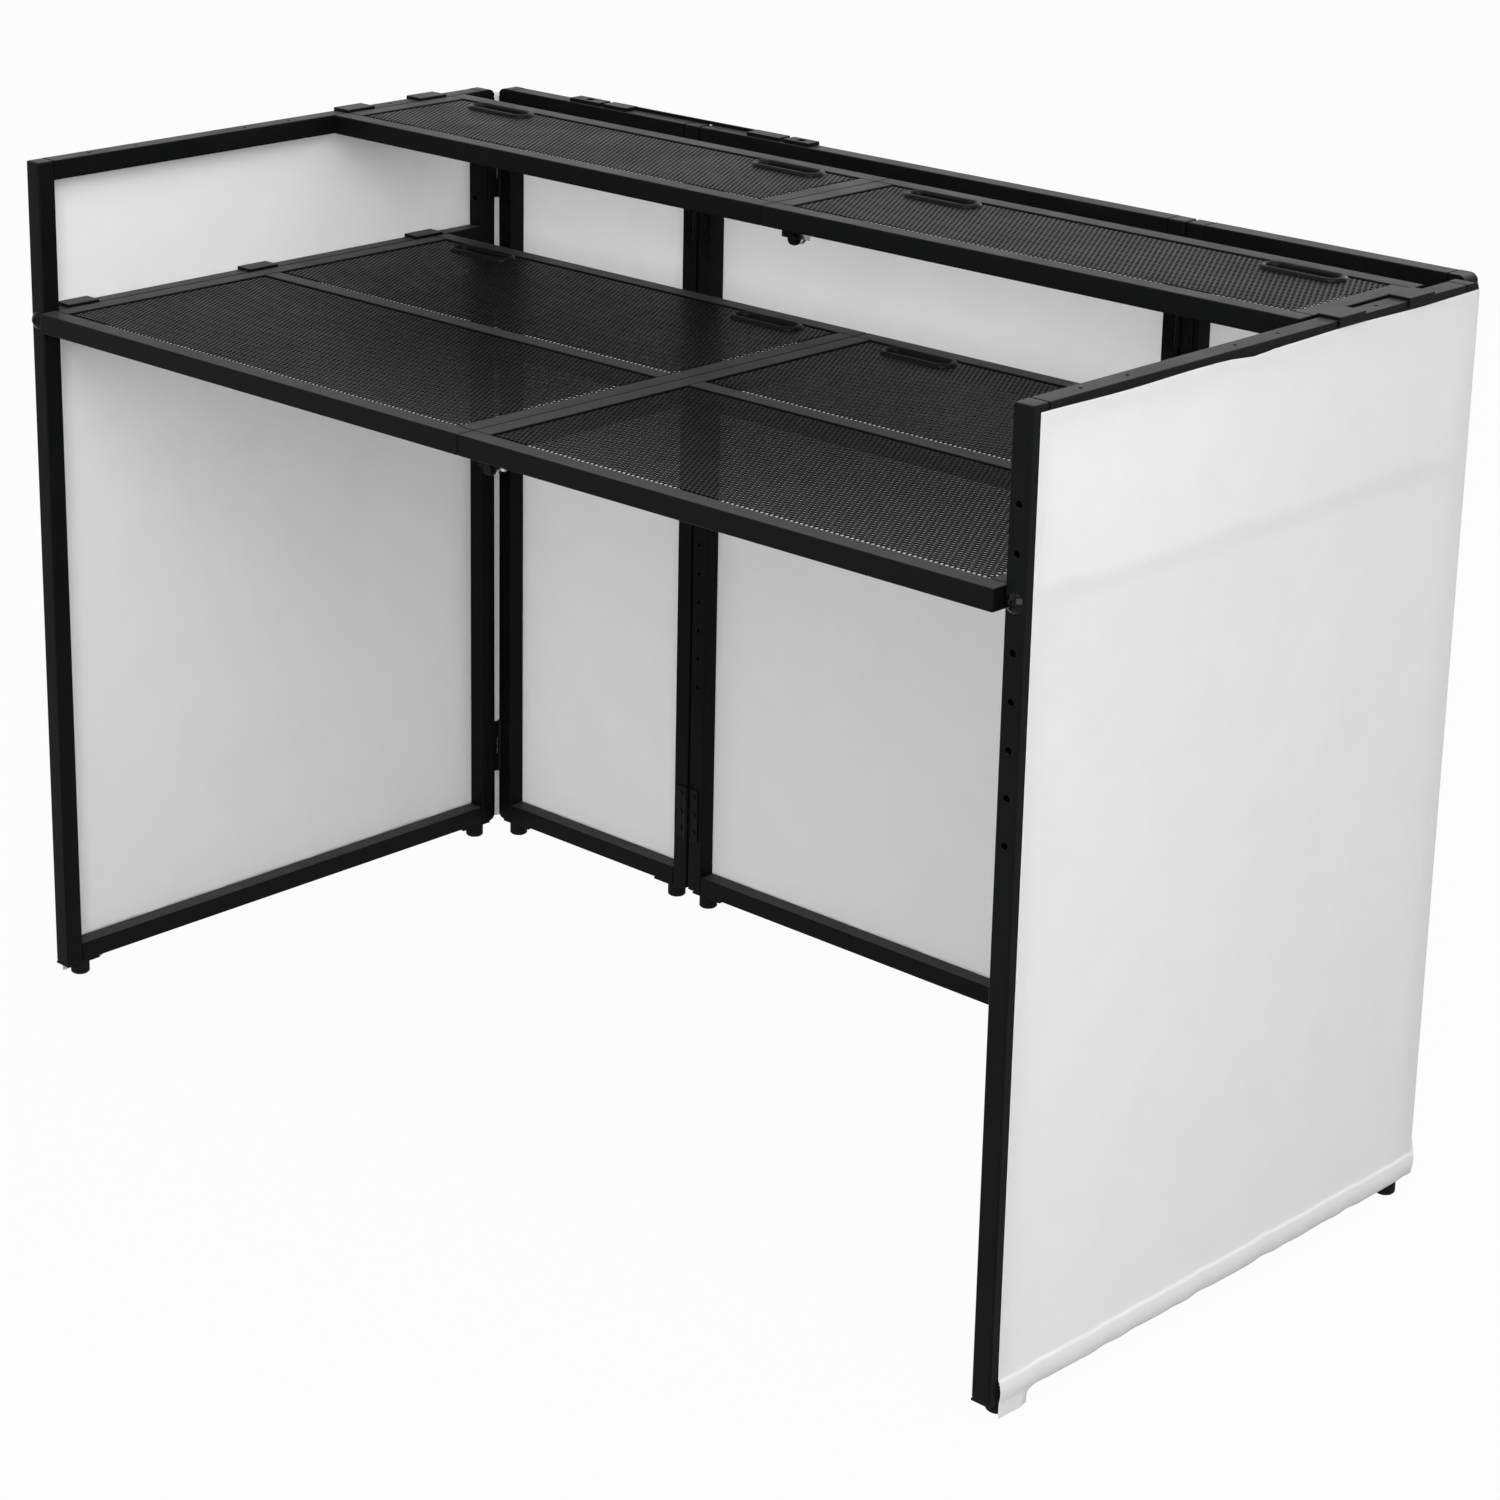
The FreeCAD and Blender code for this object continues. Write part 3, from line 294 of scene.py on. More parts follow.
# Black zinc plate is glossy, so that the domes show small sharp lights.
bolt_black = coating("gloss black zinc", "#060607", "#0c0c0d", 0.5 * MM, (0.06, 0.12), bite=0.1,
                     shine=0.12)
for side in ("left", "right"):
    dressed(side + "_rail_bolt", bolt_black)
    for kind in ("table", "shelf"):
        eased("%s_%s_hangers" % (side, kind), hanger_edge, shortest_hanger_edge, powder_coat)
for node in ("joint_bars", "joint_bar_clips"):
    eased(node, bar_edge, shortest_bar_edge, powder_coat)


# Table and shelf frames: the same tube with a tighter edge, butted and welded, with capped ends. The
# weld is ground flush, so each butt joint shows as a hairline.
halves = ("table_left", "table_right", "shelf_left", "shelf_right")
deck_edge = 1.6 * MM
for half in halves:
    eased(half + "_frame", deck_edge, shortest_rolled_edge, powder_coat)


# Perforated sheets: thin steel punched with staggered round holes, cut to fit between the tubes and
# laid just below their tops, with slots for the grommets. The borders are rolled down, so that the
# holes there tilt and show the pale scrim as a row of dots.
# How much paler the sheets' upward faces are painted: a little dust and painted sheen.
sheet_dust_and_sheen = 0.02
rolled_edge = 8.0 * MM
first_row = 5.0 * MM
# The holes are six-sided here, and as open as round 5 mm ones. The sheet is 0.3 mm thinner than its
# solid, so that from a low angle the holes show as much of what is below as they do in the photo.
hole_pitch = 7.0 * MM
hole_across = 4.76 * MM
sheet_gauge = 1.2 * MM
least_land = 0.4 * MM
row_step = hole_pitch * math.sqrt(3) / 2
cell_radius = hole_pitch / math.sqrt(3)
hole_room = hole_across / math.sqrt(3) + least_land
grommet_size = (112 * MM, 38 * MM)
slot_inset = 4 * MM
slot_size = tuple(side - 2 * slot_inset for side in grommet_size)


def new_tree(name, output, *inputs):
    """An empty node tree with named inputs, one output and the node that gives the inputs."""
    tree = bpy.data.node_groups.new(name, "GeometryNodeTree")
    for label, kind in inputs:
        tree.interface.new_socket(label, in_out="INPUT", socket_type="NodeSocket" + kind)
    tree.interface.new_socket(output, in_out="OUTPUT", socket_type="NodeSocketGeometry")
    return tree, add(tree, "NodeGroupInput").outputs


def perforation_tree():
    """Six-sided cells of sheet set out on points: with a hole where the point is open, else plain."""
    tree, given = new_tree("perforated sheet", "Cells", ("Centres", "Geometry"),
                           ("Cell Radius", "Float"), ("Hole Share", "Float"), ("Finish", "Material"))
    outline = add(tree, "GeometryNodeMeshCircle", {"Vertices": 6, "Radius": given["Cell Radius"]},
                  fill_type="NGON")
    plain = add(tree, "GeometryNodeTransform", {"Geometry": outline.outputs[0],
                                                "Rotation": (0.0, 0.0, math.radians(30))})
    inset = add(tree, "GeometryNodeExtrudeMesh", {"Mesh": plain.outputs[0], "Offset Scale": 0.0},
                mode="FACES")
    narrow = add(tree, "GeometryNodeScaleElements",
                 {"Geometry": inset.outputs["Mesh"], "Selection": inset.outputs["Top"],
                  "Scale": given["Hole Share"]}, domain="FACE")
    ring = add(tree, "GeometryNodeDeleteGeometry",
               {"Geometry": narrow.outputs[0], "Selection": inset.outputs["Top"]}, domain="FACE")
    is_open = add(tree, "GeometryNodeInputNamedAttribute", {"Name": "open"}, data_type="BOOLEAN")
    is_shut = add(tree, "FunctionNodeBooleanMath", {0: is_open.outputs[0]}, operation="NOT")
    cells = add(tree, "GeometryNodeJoinGeometry")
    for cell, chosen in ((ring, is_open), (plain, is_shut)):
        set_out = add(tree, "GeometryNodeInstanceOnPoints",
                      {"Points": given["Centres"], "Selection": chosen.outputs[0],
                       "Instance": cell.outputs[0]})
        tree.links.new(set_out.outputs[0], cells.inputs[0])
    real = add(tree, "GeometryNodeRealizeInstances", {"Geometry": cells.outputs[0]})
    coated = add(tree, "GeometryNodeSetMaterial",
                 {"Geometry": real.outputs[0], "Material": given["Finish"]})
    add(tree, "NodeGroupOutput", {"Cells": coated.outputs[0]})
    return tree


def off_slot(x, y, middle, length, width):
    """How far a point lies outside a slot with round ends along X, and the slot's nearest edge."""
    reach = (length - width) / 2
    core = Vector((min(max(x, middle[0] - reach), middle[0] + reach), middle[1]))
    away = Vector((x, y)) - core
    edge = core + (away.normalized() if away.length else Vector((0.0, 1.0))) * width / 2
    return away.length - width / 2, edge


def finished_sheet(mesh, low, high, slots):
    """Trims the cells to the sheet's box and the grommets' slots, rolls the borders down, and gives
    the sheet its thickness."""
    merge_within, sliver = 0.02 * MM, (0.1 * MM) ** 2
    work = bmesh.new()
    work.from_mesh(mesh)
    bmesh.ops.remove_doubles(work, verts=work.verts, dist=merge_within)
    gone = [f for f in work.faces for slot in slots
            if all(off_slot(v.co.x, v.co.y, *slot)[0] < 0 for v in f.verts)]
    bmesh.ops.delete(work, geom=gone, context="FACES")
    for vert in work.verts:
        vert.co = (min(max(vert.co.x, low.x), high.x), min(max(vert.co.y, low.y), high.y), high.z)
        for slot in slots:
            outside, edge = off_slot(vert.co.x, vert.co.y, *slot)
            if outside < 0:
                vert.co = edge.to_3d() + Vector((0.0, 0.0, high.z))
    bmesh.ops.remove_doubles(work, verts=work.verts, dist=merge_within)
    slivers = [f for f in work.faces if f.calc_area() < sliver]
    bmesh.ops.delete(work, geom=slivers, context="FACES")
    for vert in work.verts:
        x, y = vert.co.xy
        from_edge = min(x - low.x, high.x - x, y - low.y, high.y - y)
        over = max(rolled_edge - from_edge, 0.0)
        vert.co.z -= rolled_edge - math.sqrt(rolled_edge ** 2 - over ** 2)
    below = bmesh.ops.extrude_face_region(work, geom=work.faces[:], use_keep_orig=True)["geom"]
    bmesh.ops.translate(work, vec=(0.0, 0.0, -sheet_gauge),
                        verts=[v for v in below if isinstance(v, bmesh.types.BMVert)])
    work.to_mesh(mesh)
    work.free()
    turned_out(mesh)


# The sheets have the tubes' coat, on cold rolled sheet, so that it lies smoother and gleams more.
sheet_coat = coating("black coated perforated steel", "#08090a", "#0f1011", 0.9 * MM, (0.28, 0.38),
                     bite=0.2, shine=0.05)
punched = perforation_tree()
grommet_spots, grommet_tops = {}, {}
for half in halves:
    low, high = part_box(half + "_grommets")
    grommet_tops[half] = high.z
    grommet_spots[half] = [(x, (low.y + high.y) / 2) for x in (low.x + grommet_size[0] / 2,
                                                               high.x - grommet_size[0] / 2)]
    for kind in ("near_sheet", "far_sheet") if half.startswith("table") else ("sheet",):
        node = "%s_%s" % (half, kind)
        low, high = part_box(node)
        slots = [(spot,) + slot_size for spot in grommet_spots[half] if kind != "near_sheet"]
        columns = math.ceil((high.x - low.x) / hole_pitch / 2) + 1
        rows = math.ceil((high.y - low.y) / row_step) + 1
        centres = [((low.x + high.x) / 2 + (across + row % 2 / 2) * hole_pitch,
                    low.y + first_row + row * row_step, high.z)
                   for row in range(-1, rows) for across in range(-columns, columns + 1)]
        is_open = [low.x + hole_room < x < high.x - hole_room
                   and low.y + hole_room < y < high.y - hole_room
                   and all(off_slot(x, y, *slot)[0] > cell_radius for slot in slots)
                   for x, y, z in centres]
        points = bpy.data.meshes.new("centres")
        points.from_pydata(centres, [], [])
        points.attributes.new("open", "BOOLEAN", "POINT").data.foreach_set("value", is_open)
        mesh = applied(points, "NODES",
                       {"Cell Radius": cell_radius, "Hole Share": hole_across / hole_pitch,
                        "Finish": sheet_coat}, node_group=punched)
        finished_sheet(mesh, low, high, slots)
        # Upward faces of the sheet get a little dust and painted sheen.
        mark_upward(mesh, sheet_dust_and_sheen)
        stands_in(node, "_punched", mesh, sheet_coat)


# Cable grommets: moulded plastic ovals pressed into the sheets' slots. The rim is a soft half round
# that stands above the sheet, and a thin skirt goes through the slot.
# The rim's section, in mm: in from the outline, and up from the sheet.
rim_profile = [(0.0, 0.0), (0.25, 1.3), (1.0, 2.7), (2.3, 3.6), (4.0, 4.0), (5.7, 3.6), (7.0, 2.7),
               (7.7, 1.4), (8.0, 0.0), (8.0, -7.5), (5.0, -7.5), (5.0, 0.0)]
rim_height = 4 * MM
steps_round = 64
rim_crisp_from = 50


def oval_point(middle, length, width, turn):
    """A point on a slot-shaped outline, by its share of a full turn."""
    angle = 2 * math.pi * turn
    side = 1 if math.cos(angle) >= 0 else -1
    return (middle[0] + side * (length - width) / 2 + width / 2 * math.cos(angle),
            middle[1] + width / 2 * math.sin(angle))


# Moulded plastic keeps the fine grain of its mould, so the round of the rim has a soft highlight.
moulded_plastic = coating("black moulded plastic", "#0b0b0c", "#131315", 0.6 * MM, (0.3, 0.42))
for half, spots in grommet_spots.items():
    work = bmesh.new()
    sheet_top = grommet_tops[half] - rim_height
    for middle in spots:
        rings = []
        for inset, rise in rim_profile:
            length, width = (side - 2 * inset * MM for side in grommet_size)
            rings.append([work.verts.new(oval_point(middle, length, width, (at + 0.5) / steps_round)
                                         + (sheet_top + rise * MM,)) for at in range(steps_round)])
        for inner, outer in zip(rings[1:] + rings[:1], rings):
            for at in range(steps_round):
                after = (at + 1) % steps_round
                work.faces.new((outer[at], outer[after], inner[after], inner[at]))
    mesh = bpy.data.meshes.new(half + "_grommets_moulded")
    work.to_mesh(mesh)
    work.free()
    smooth(turned_out(mesh), rim_crisp_from)
    stands_in(half + "_grommets", "_moulded", mesh, moulded_plastic)


# Seam hinges under the table and the shelf: flat steel ears on a headed pin. The right half's ear is
# bright plated, and the left half's ears and the pins are black.
ear_edge, shortest_ear_edge = 0.5 * MM, 6 * MM
# Bright zinc plate is a pale, slightly cloudy metal that mirrors softly.
bright_plate = coating("bright zinc plate", "#b9babc", "#d4d5d6", 0.6 * MM, (0.18, 0.3), metallic=1.0)
for kind in ("table", "shelf"):
    eased(kind + "_left_seam_ears", ear_edge, shortest_ear_edge, powder_coat)
    eased(kind + "_right_seam_ears", ear_edge, shortest_ear_edge, bright_plate)
    dressed(kind + "_seam_pins", black_steel)


# Scrims: white polyester and elastane stretch knit, cut to the front and to each side, with a folded
# and stitched hem along the bottom. It is held flat on the frames' outer faces and pulled straight
# across the open corners. Its edge is turned in below the rails, and cut away at the foot plates.
cloth_thickness = 0.9 * MM
cloth_stand_off = 0.6 * MM
cloth_step = 9 * MM
cloth_crisp_from = 60
corner_radius = 9 * MM
join_lap = 15 * MM
hem_band = 26 * MM
hem_layers = 1.2 * MM
hem_puff = 2.2 * MM
hem_turn = 14 * MM
near_tail = 17 * MM
seam_step = 3.2 * MM
stitch_drop = 3 * MM
scrim_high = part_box("front_scrim")[1]
side_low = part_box("right_side_scrim")[0]
post_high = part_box("right_side_posts")[1]
wing_low, wing_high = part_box("right_wing_posts")
rail_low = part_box("right_wing_rails")[0]
cloth_top = scrim_high.z
join_x = wing_high.x - join_lap


def knit():
    """Knitted polyester is matt and white, a little translucent, and finely ribbed both ways. The
    ribs are drawn at 1.6 mm, coarser than real, so that they show."""
    rib, rib_depth, drift_size = 1.6 * MM, 0.1 * MM, 90 * MM
    wave_at_one = 2 * math.pi / 20
    made, tree = new_finish("white stretch knit")
    threads = add(tree, "ShaderNodeUVMap", uv_map="cloth").outputs[0]
    across, along = (add(tree, "ShaderNodeTexWave",
                         {"Vector": threads, "Scale": wave_at_one / rib, "Distortion": 0.4},
                         bands_direction=way) for way in "XY")
    weave = add(tree, "ShaderNodeMath", {0: across.outputs[1], 1: along.outputs[1]}, operation="ADD")
    drift = add(tree, "ShaderNodeTexNoise",
                {"Vector": threads, "Scale": 1 / drift_size, "Detail": 3.0}).outputs[0]
    tone = add(tree, "ShaderNodeMix",
               {share_in: drift, first_in: linear("#ededec"), second_in: linear("#f6f6f5")},
               data_type="RGBA")
    relief = add(tree, "ShaderNodeBump",
                 {"Height": weave.outputs[0], "Strength": 0.12, "Distance": rib_depth})
    dull = add(tree, "ShaderNodeMapRange", {"Value": drift, "To Min": 0.82, "To Max": 0.95})
    skin = add(tree, "ShaderNodeBsdfPrincipled",
               {"Base Color": tone.outputs[colour_out], "Roughness": dull.outputs[0],
                "Sheen Weight": 0.05, "Subsurface Weight": 1.0, "Subsurface Radius": (1.0, 1.0, 1.0),
                "Subsurface Scale": 3.0 * MM, "Specular IOR Level": 0.2, "Normal": relief.outputs[0]})
    add(tree, "ShaderNodeOutputMaterial", {"Surface": skin.outputs[0]})
    return made


def ease(value):
    """A smooth step from 0 to 1."""
    value = min(max(value, 0.0), 1.0)
    return value * value * (3 - 2 * value)


def plan_path(corners, radius, step):
    """Points along a plan line with its bends rounded, as (place, outward direction, distance)."""
    bend_steps = 6
    points = [Vector(corners[0])]
    for before, here, after in zip(corners, corners[1:], corners[2:]):
        a = (Vector(before) - Vector(here)).normalized()
        b = (Vector(after) - Vector(here)).normalized()
        reach = radius * math.tan((math.pi - a.angle(b)) / 2)
        start, end = Vector(here) + a * reach, Vector(here) + b * reach
        for at in range(bend_steps + 1):
            share = at / bend_steps
            points.append(start * (1 - share) ** 2 + Vector(here) * 2 * share * (1 - share)
                          + end * share ** 2)
    points.append(Vector(corners[-1]))
    filled = [points[0]]
    for point in points[1:]:
        gap = point - filled[-1]
        count = max(1, round(gap.length / step))
        first = filled[-1]
        filled += [first + gap * (at + 1) / count for at in range(count)]
    path, run = [], 0.0
    for at, point in enumerate(filled):
        ahead = filled[min(at + 1, len(filled) - 1)] - filled[max(at - 1, 0)]
        ahead.normalize()
        run += (point - filled[at - 1]).length if at else 0.0
        path.append((point, Vector((ahead.y, -ahead.x)), run))
    return path


def cloth(name, path, sign, top_at, swell_at, fold_at, turn_at, edge_at):
    """A scrim along a plan path: its face, a band of folded hem, and the edge turned in below the
    fold. Gives the piece, its cut length and area, and the line of the hem's stitches."""
    round_seam, to_fold = (5.0, 1.6, 0.5, -0.5, -1.6, -5.0), (14.0, 8.0, 3.0, 0.0)
    hem_rows = [hem_band + rise * MM for rise in round_seam] + [rise * MM for rise in to_fold]
    rows_in_hem, edge_rows, turn_rows = 3, 8, 2
    face_rows = round((cloth_top - rail_low.z) / cloth_step) - rows_in_hem
    work = bmesh.new()
    uv = work.loops.layers.uv.new("cloth")
    grid, lengths, stitch_line = [], [], []
    for point, out, run in path:
        out = out * sign
        top, fold = top_at(run), fold_at(run)
        seam = fold + hem_band
        seam_top = fold + hem_rows[0]
        heights = [top + (seam_top - top) * at / face_rows for at in range(face_rows)]
        heights += [fold + rise for rise in hem_rows]
        column = []
        for z in heights:
            layers = hem_layers * ease((seam - z + seam_step / 2) / seam_step)
            puff = hem_puff * math.sin(math.pi * min(max((seam - z) / hem_band, 0.0), 1.0))
            column.append((cloth_stand_off + swell_at(run, z) + layers + puff, z))
        step = edge_at(run) / edge_rows
        for at in range(1, edge_rows + 1):
            bend = turn_at(run) * math.pi / 2 * min(at / turn_rows, 1.0)
            off, z = column[-1]
            column.append((off - step * math.sin(bend), z - step * math.cos(bend)))
        grid.append([work.verts.new((point.x + out.x * off, point.y + out.y * off, z))
                     for off, z in column])
        measure = [top - z for z in heights]
        measure += [top - fold + step * at for at in range(1, edge_rows + 1)]
        lengths.append([(run, -m) for m in measure])
        z = seam - stitch_drop
        puff = hem_puff * math.sin(math.pi * stitch_drop / hem_band)
        off = cloth_stand_off + swell_at(run, z) + hem_layers + puff + cloth_thickness / 2
        stitch_line.append((point.x + out.x * off, point.y + out.y * off, z))
    for at in range(len(grid) - 1):
        for row in range(len(grid[0]) - 1):
            corners = [(at, row), (at, row + 1), (at + 1, row + 1), (at + 1, row)]
            face = work.faces.new([grid[a][r] for a, r in corners])
            for loop, (a, r) in zip(face.loops, corners):
                loop[uv].uv = lengths[a][r]
    area = sum(face.calc_area() for face in work.faces)
    mesh = bpy.data.meshes.new(name)
    work.to_mesh(mesh)
    work.free()
    mesh = turned_out(applied(mesh, "SOLIDIFY", thickness=cloth_thickness, offset=0.0))
    smooth(mesh, cloth_crisp_from)
    piece = shown(name, mesh, stretch_knit)
    return piece, path[-1][2], area, stitch_line[::sign]


def stitch_tree():
    """Thread that comes up out of the cloth and goes down again, at an even pitch along a line."""
    tree, given = new_tree("hem stitches", "Stitches", ("Line", "Geometry"), ("Pitch", "Float"),
                           ("Thread Radius", "Float"), ("Start", "Vector"), ("Peak", "Vector"),
                           ("End", "Vector"), ("Finish", "Material"))
    line = add(tree, "GeometryNodeMeshToCurve", {"Mesh": given["Line"]})
    upright = add(tree, "GeometryNodeSetCurveNormal", {"Curve": line.outputs[0]}, mode="Z_UP")
    places = add(tree, "GeometryNodeResampleCurve",
                 {"Curve": upright.outputs[0], "Length": given["Pitch"]}, mode="LENGTH")
    tangent = add(tree, "GeometryNodeInputTangent").outputs[0]
    normal = add(tree, "GeometryNodeInputNormal").outputs[0]
    along = add(tree, "FunctionNodeAlignRotationToVector", {"Vector": tangent}, axis="X")
    outward = add(tree, "FunctionNodeAlignRotationToVector",
                  {"Rotation": along.outputs[0], "Vector": normal}, axis="Z", pivot_axis="X")
    bow = add(tree, "GeometryNodeCurveQuadraticBezier",
              {"Resolution": 4, "Start": given["Start"], "Middle": given["Peak"],
               "End": given["End"]})
    round_thread = add(tree, "GeometryNodeCurvePrimitiveCircle",
                       {"Resolution": 6, "Radius": given["Thread Radius"]})
    thread = add(tree, "GeometryNodeCurveToMesh",
                 {"Curve": bow.outputs[0], "Profile Curve": round_thread.outputs[0],
                  "Fill Caps": True})
    set_out = add(tree, "GeometryNodeInstanceOnPoints",
                  {"Points": places.outputs[0], "Instance": thread.outputs[0],
                   "Rotation": outward.outputs[0]})
    real = add(tree, "GeometryNodeRealizeInstances", {"Geometry": set_out.outputs[0]})
    sewn = add(tree, "GeometryNodeSetMaterial",
               {"Geometry": real.outputs[0], "Material": given["Finish"]})
    add(tree, "NodeGroupOutput", {"Stitches": sewn.outputs[0]})
    return tree


stretch_knit = knit()
# Spun polyester thread is a shade darker than the knit, with a faint gleam along each stitch.
thread_white = coating("white polyester thread", "#dededc", "#ececea", 0.3 * MM, (0.5, 0.65),
                       shine=0.3)
hem_stitches = stitch_tree()


def stitched(name, line):
    """The hem's stitches, drawn a little thicker than real so that they show."""
    pitch, reach, rise, dip = 4.5 * MM, 1.7 * MM, 0.6 * MM, 0.2 * MM
    thread_radius, thread_crisp_from = 0.35 * MM, 50
    source = bpy.data.meshes.new("stitch line")
    source.from_pydata(line, [(at, at + 1) for at in range(len(line) - 1)], [])
    mesh = applied(source, "NODES",
                   {"Pitch": pitch, "Thread Radius": thread_radius, "Start": (-reach, 0, -dip),
                    "Peak": (0, 0, rise), "End": (reach, 0, -dip), "Finish": thread_white},
                   node_group=hem_stitches)
    smooth(mesh, thread_crisp_from)
    return shown(name, mesh, thread_white)


def ripple(run, *waves):
    """A sum of even waves along the cloth, from 0 to 1: each a length in mm and a start."""
    return sum(0.5 + 0.5 * math.sin(2 * math.pi * (run / (length * MM) + begin))
               for length, begin in waves) / len(waves)


def bump(away, width):
    """A rounded hill, 1 at its middle."""
    return math.exp(-(away / width) ** 2)


def side_path(sign):
    """The plan of a side scrim: along the side frame, across the open corner and onto the wing."""
    return plan_path([(sign * post_high.x, side_low.y), (sign * post_high.x, post_high.y),
                      (sign * wing_high.x, wing_high.y), (sign * join_x, wing_high.y)],
                     corner_radius, cloth_step)


side_length = side_path(1)[-1][2]
slack_fall = 30 * MM


def side_top(run):
    """The top edge sags a little between its fixings, and more where it is puckered."""
    sag, pucker, pucker_at, pucker_width = 1.6 * MM, 2.5 * MM, 345 * MM, 26 * MM
    return cloth_top - sag * ripple(run, (260, -0.25)) - pucker * bump(run - pucker_at, pucker_width)


def side_swell(run, z):
    """Creases that lean away below the pucker, and slack that dies out above the hem."""
    crease, crease_at, crease_width, crease_fall = 1.4 * MM, 350 * MM, 60 * MM, 55 * MM
    lean, crease_lean, slack = 0.4, 0.6, 1.6 * MM
    down, up = cloth_top - z, z - rail_low.z
    patch = math.exp(-down / crease_fall) * bump(run - crease_at - lean * down, crease_width)
    near_hem = math.exp(-max(up, 0.0) / slack_fall)
    return (crease * patch * ripple(run - crease_lean * down, (24, 0.0))
            + slack * near_hem * ripple(run, (97, 0.0), (41, 0.3)))


def side_fold(run):
    """The fold hangs a little below the rail, unevenly."""
    hang = 2.2 * MM
    return rail_low.z - hang * ripple(run, (131, 0.1), (57, 0.6))


def side_turn(run):
    """How far the edge is turned in: it hangs as a tail at the near post."""
    tail_ends, over = 46 * MM, 16 * MM
    return ease((run - tail_ends) / over)


def side_edge(run):
    """How much edge is left below the fold: less at the far post, where it is cut away."""
    narrows_at, cut_from_end, cut_share, over = 30 * MM, 140 * MM, 0.85, 20 * MM
    tail = near_tail + (hem_turn - near_tail) * ease((run - narrows_at) / over)
    return tail * (1 - cut_share * ease((run - side_length + cut_from_end) / over))


for side, sign in (("left", -1), ("right", 1)):
    piece, length, area, line = cloth(side + "_scrim", side_path(sign), sign, side_top, side_swell,
                                      side_fold, side_turn, side_edge)
    stitches = stitched(side + "_scrim_stitches", line)
    for each in (piece, stitches):
        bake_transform(each)
    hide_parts(side + "_side_scrim", side + "_corner_scrim")

front_path = plan_path([(join_x, wing_high.y), (-join_x, wing_high.y)], 0.0, cloth_step)
frame_ends = [sign * end for sign in (-1, 1) for end in (wing_high.x, wing_low.x)]


def front_swell(run, z):
    """Slack that dies out above the hem."""
    slack = 1.5 * MM
    near_hem = math.exp(-max(z - rail_low.z, 0.0) / slack_fall)
    return slack * near_hem * ripple(run, (113, 0.2), (47, 0.0))


def front_fold(run):
    """The fold hangs a little below the rails, unevenly."""
    hang = 2.0 * MM
    return rail_low.z - hang * ripple(run, (149, 0.4), (61, 0.1))


def front_edge(run):
    """How much edge is left below the fold: less on both sides of each foot plate."""
    cut_reach, over, least = 60 * MM, 14 * MM, 0.12
    left = 1.0
    for end in frame_ends:
        left *= ease((abs(join_x - run - end) - cut_reach) / over)
    return hem_turn * (least + (1 - least) * left)


piece, length, area, line = cloth("front_scrim_cloth", front_path, 1, lambda run: cloth_top,
                                  front_swell, front_fold, lambda run: 1.0, front_edge)
stitches = stitched("front_scrim_stitches", line)
for each in (piece, stitches):
    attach(each, "facade_front")
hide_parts("front_scrim")


# Studio: a plain pale floor and even white light all round, with softboxes above, on the right and
# behind. The camera stands to the right of the open side, above the table, as in the photograph.
floor_reach = 14.0
floor_glow = 0.97
sky_light = 0.5
scene = bpy.context.scene
floor_mesh = bpy.data.meshes.new("studio_floor")
floor_mesh.from_pydata([(x * floor_reach, y * floor_reach, 0.0) for x, y in
                        ((-1, -1), (1, -1), (1, 1), (-1, 1))], [], [(0, 1, 2, 3)])
studio_floor = bpy.data.objects.new("studio_floor", floor_mesh)
scene.collection.objects.link(studio_floor)


def seen_directly(tree):
    """1 for what the camera sees directly, in gloss or through glass, and 0 for light."""
    path = add(tree, "ShaderNodeLightPath").outputs
    first = add(tree, "ShaderNodeMath", {0: path["Is Camera Ray"], 1: path["Is Glossy Ray"]},
                operation="MAXIMUM")
    return add(tree, "ShaderNodeMath", {0: first.outputs[0], 1: path["Is Transmission Ray"]},
               operation="MAXIMUM").outputs[0]


# A matt grey to the light, so that little of it comes back up, and almost white to the eye.
floor_paint, tree = new_finish("pale studio floor")
share = add(tree, "ShaderNodeMath", {0: seen_directly(tree), 1: floor_glow}, operation="MULTIPLY")
matt = add(tree, "ShaderNodeBsdfDiffuse", {"Color": linear("#8c8c8c")})
glow = add(tree, "ShaderNodeEmission", {"Color": linear("#ffffff"), "Strength": 1.0})
paint = add(tree, "ShaderNodeMixShader",
            {0: share.outputs[0], 1: matt.outputs[0], 2: glow.outputs[0]})
add(tree, "ShaderNodeOutputMaterial", {"Surface": paint.outputs[0]})
floor_mesh.materials.append(floor_paint)

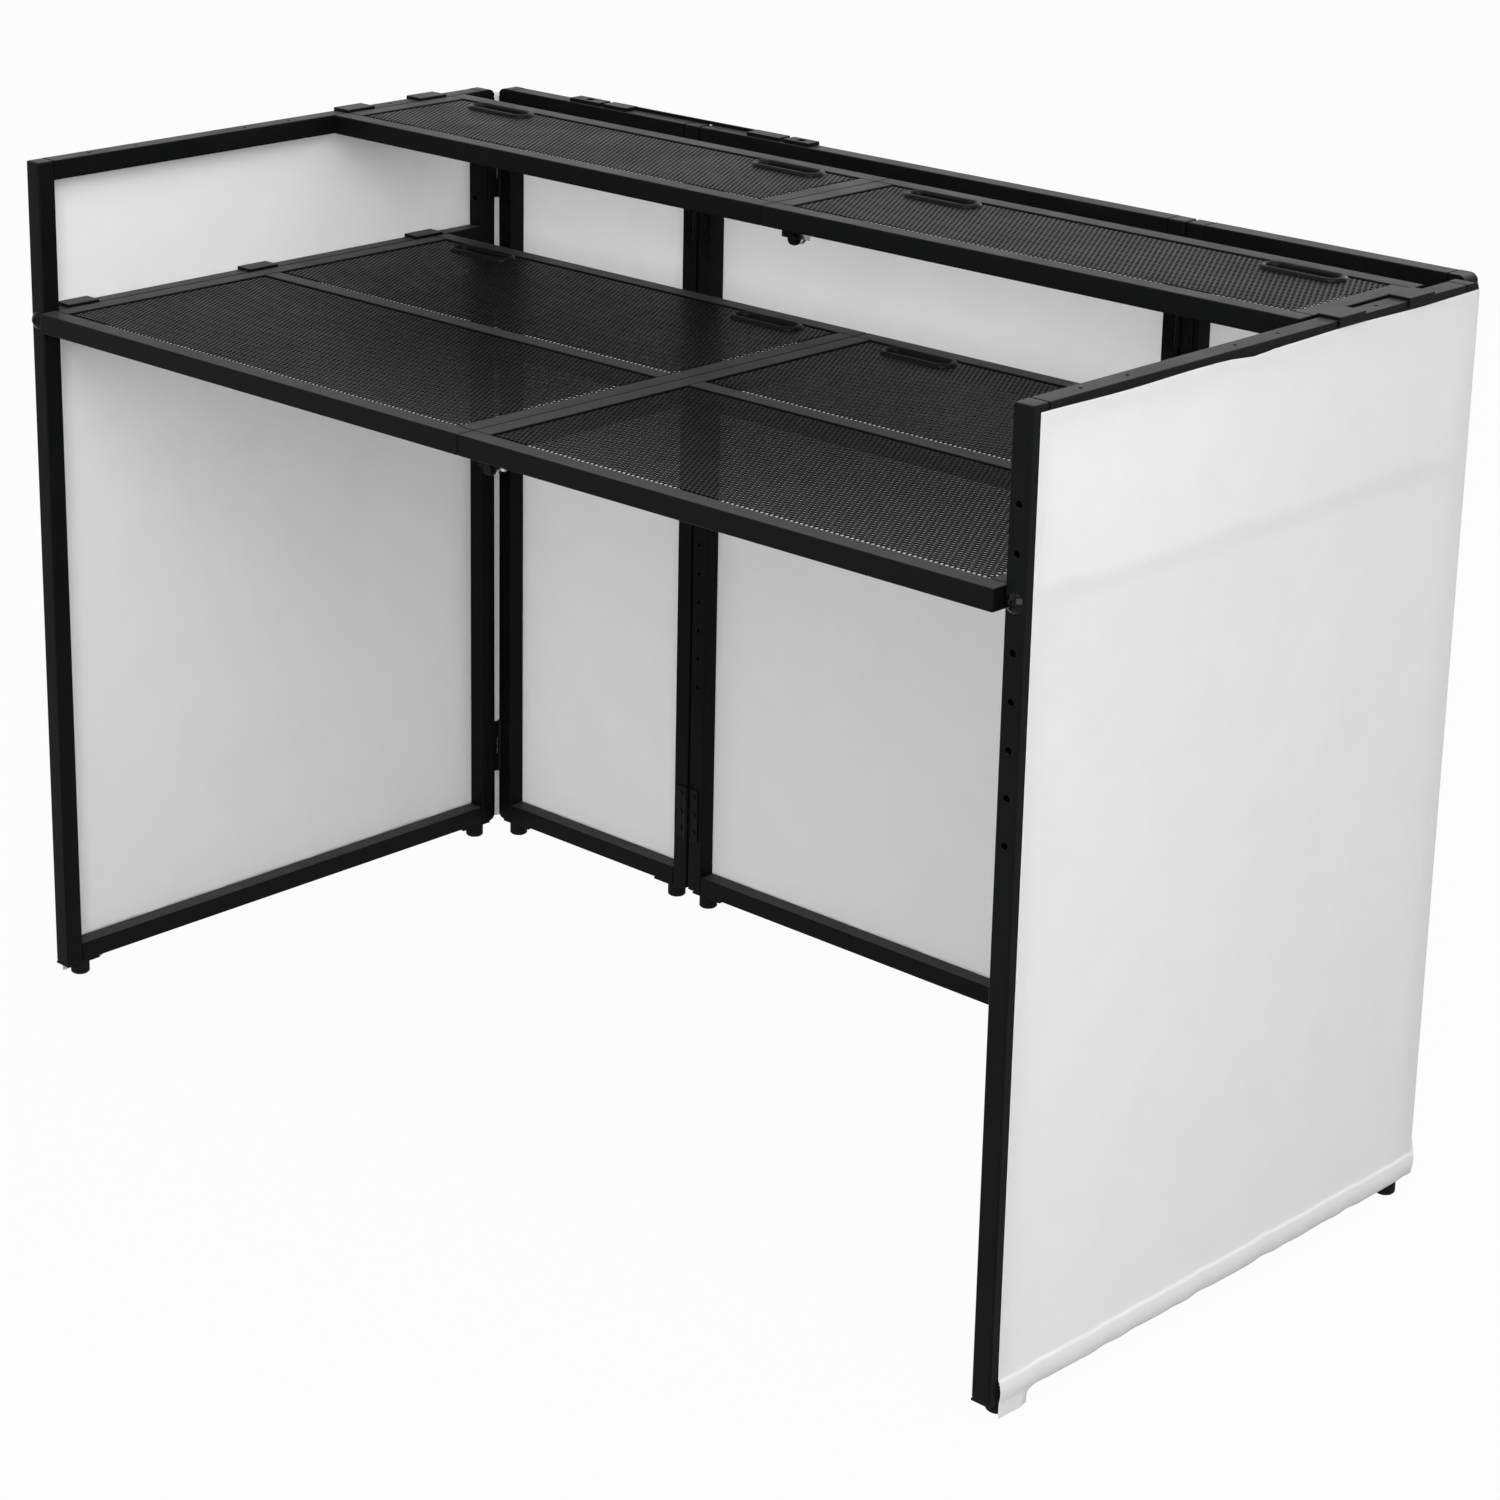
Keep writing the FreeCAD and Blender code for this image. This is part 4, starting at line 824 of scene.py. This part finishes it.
world = bpy.data.worlds.new("studio")
scene.world = world
world.use_nodes = True
tree = world.node_tree
tree.nodes.clear()
level = add(tree, "ShaderNodeMapRange",
            {"Value": seen_directly(tree), "To Min": sky_light, "To Max": 1.0})
sky = add(tree, "ShaderNodeBackground", {"Color": linear("#ffffff"), "Strength": level.outputs[0]})
add(tree, "ShaderNodeOutputWorld", {"Surface": sky.outputs[0]})

for name, place, aim, size, power in (
        ("overhead softbox", (0.6, 0.4, 3.6), (0.0, 0.0, 0.6), 3.0, 40.0),
        ("right softbox", (2.8, -3.0, 2.8), (0.2, 0.0, 0.7), 3.4, 192.0),
        ("back softbox", (0.3, 4.0, 2.4), (0.0, 0.4, 0.6), 2.5, 62.0)):
    lamp = bpy.data.lights.new(name, "AREA")
    lamp.size = size
    lamp.energy = power
    holder = bpy.data.objects.new(name, lamp)
    turn = (Vector(place) - Vector(aim)).to_track_quat("Z", "Y")
    holder.matrix_world = Matrix.Translation(place) @ turn.to_matrix().to_4x4()
    scene.collection.objects.link(holder)

# The camera was solved from straight edges and holes in the photo. The focal length and the centre
# are in the photo's pixels, and the place where it stands is in metres.
photo_width = 1500.0
focal = 3739.8
centre_column, centre_row = 641.63, 561.65
sensor = 36.0
azimuth, elevation, roll = (math.radians(angle) for angle in (44.5034, 17.426, 0.6833))
stand = Vector((2.963, -3.1305, 2.02595))
back = Vector((math.sin(azimuth) * math.cos(elevation), -math.cos(azimuth) * math.cos(elevation),
               math.sin(elevation)))
level_right = Vector((math.cos(azimuth), math.sin(azimuth), 0.0))
level_up = back.cross(level_right)
right = level_right * math.cos(roll) + level_up * math.sin(roll)
up = level_up * math.cos(roll) - level_right * math.sin(roll)
camera = bpy.data.objects.new("camera", bpy.data.cameras.new("camera"))
camera.data.sensor_width = sensor
camera.data.lens = focal / photo_width * sensor
camera.data.shift_x = (photo_width / 2 - centre_column) / photo_width
camera.data.shift_y = (centre_row - photo_width / 2) / photo_width
camera.matrix_world = Matrix.Translation(stand) @ Matrix((right, up, back)).transposed().to_4x4()
scene.collection.objects.link(camera)
scene.camera = camera
scene.view_settings.view_transform = "Standard"
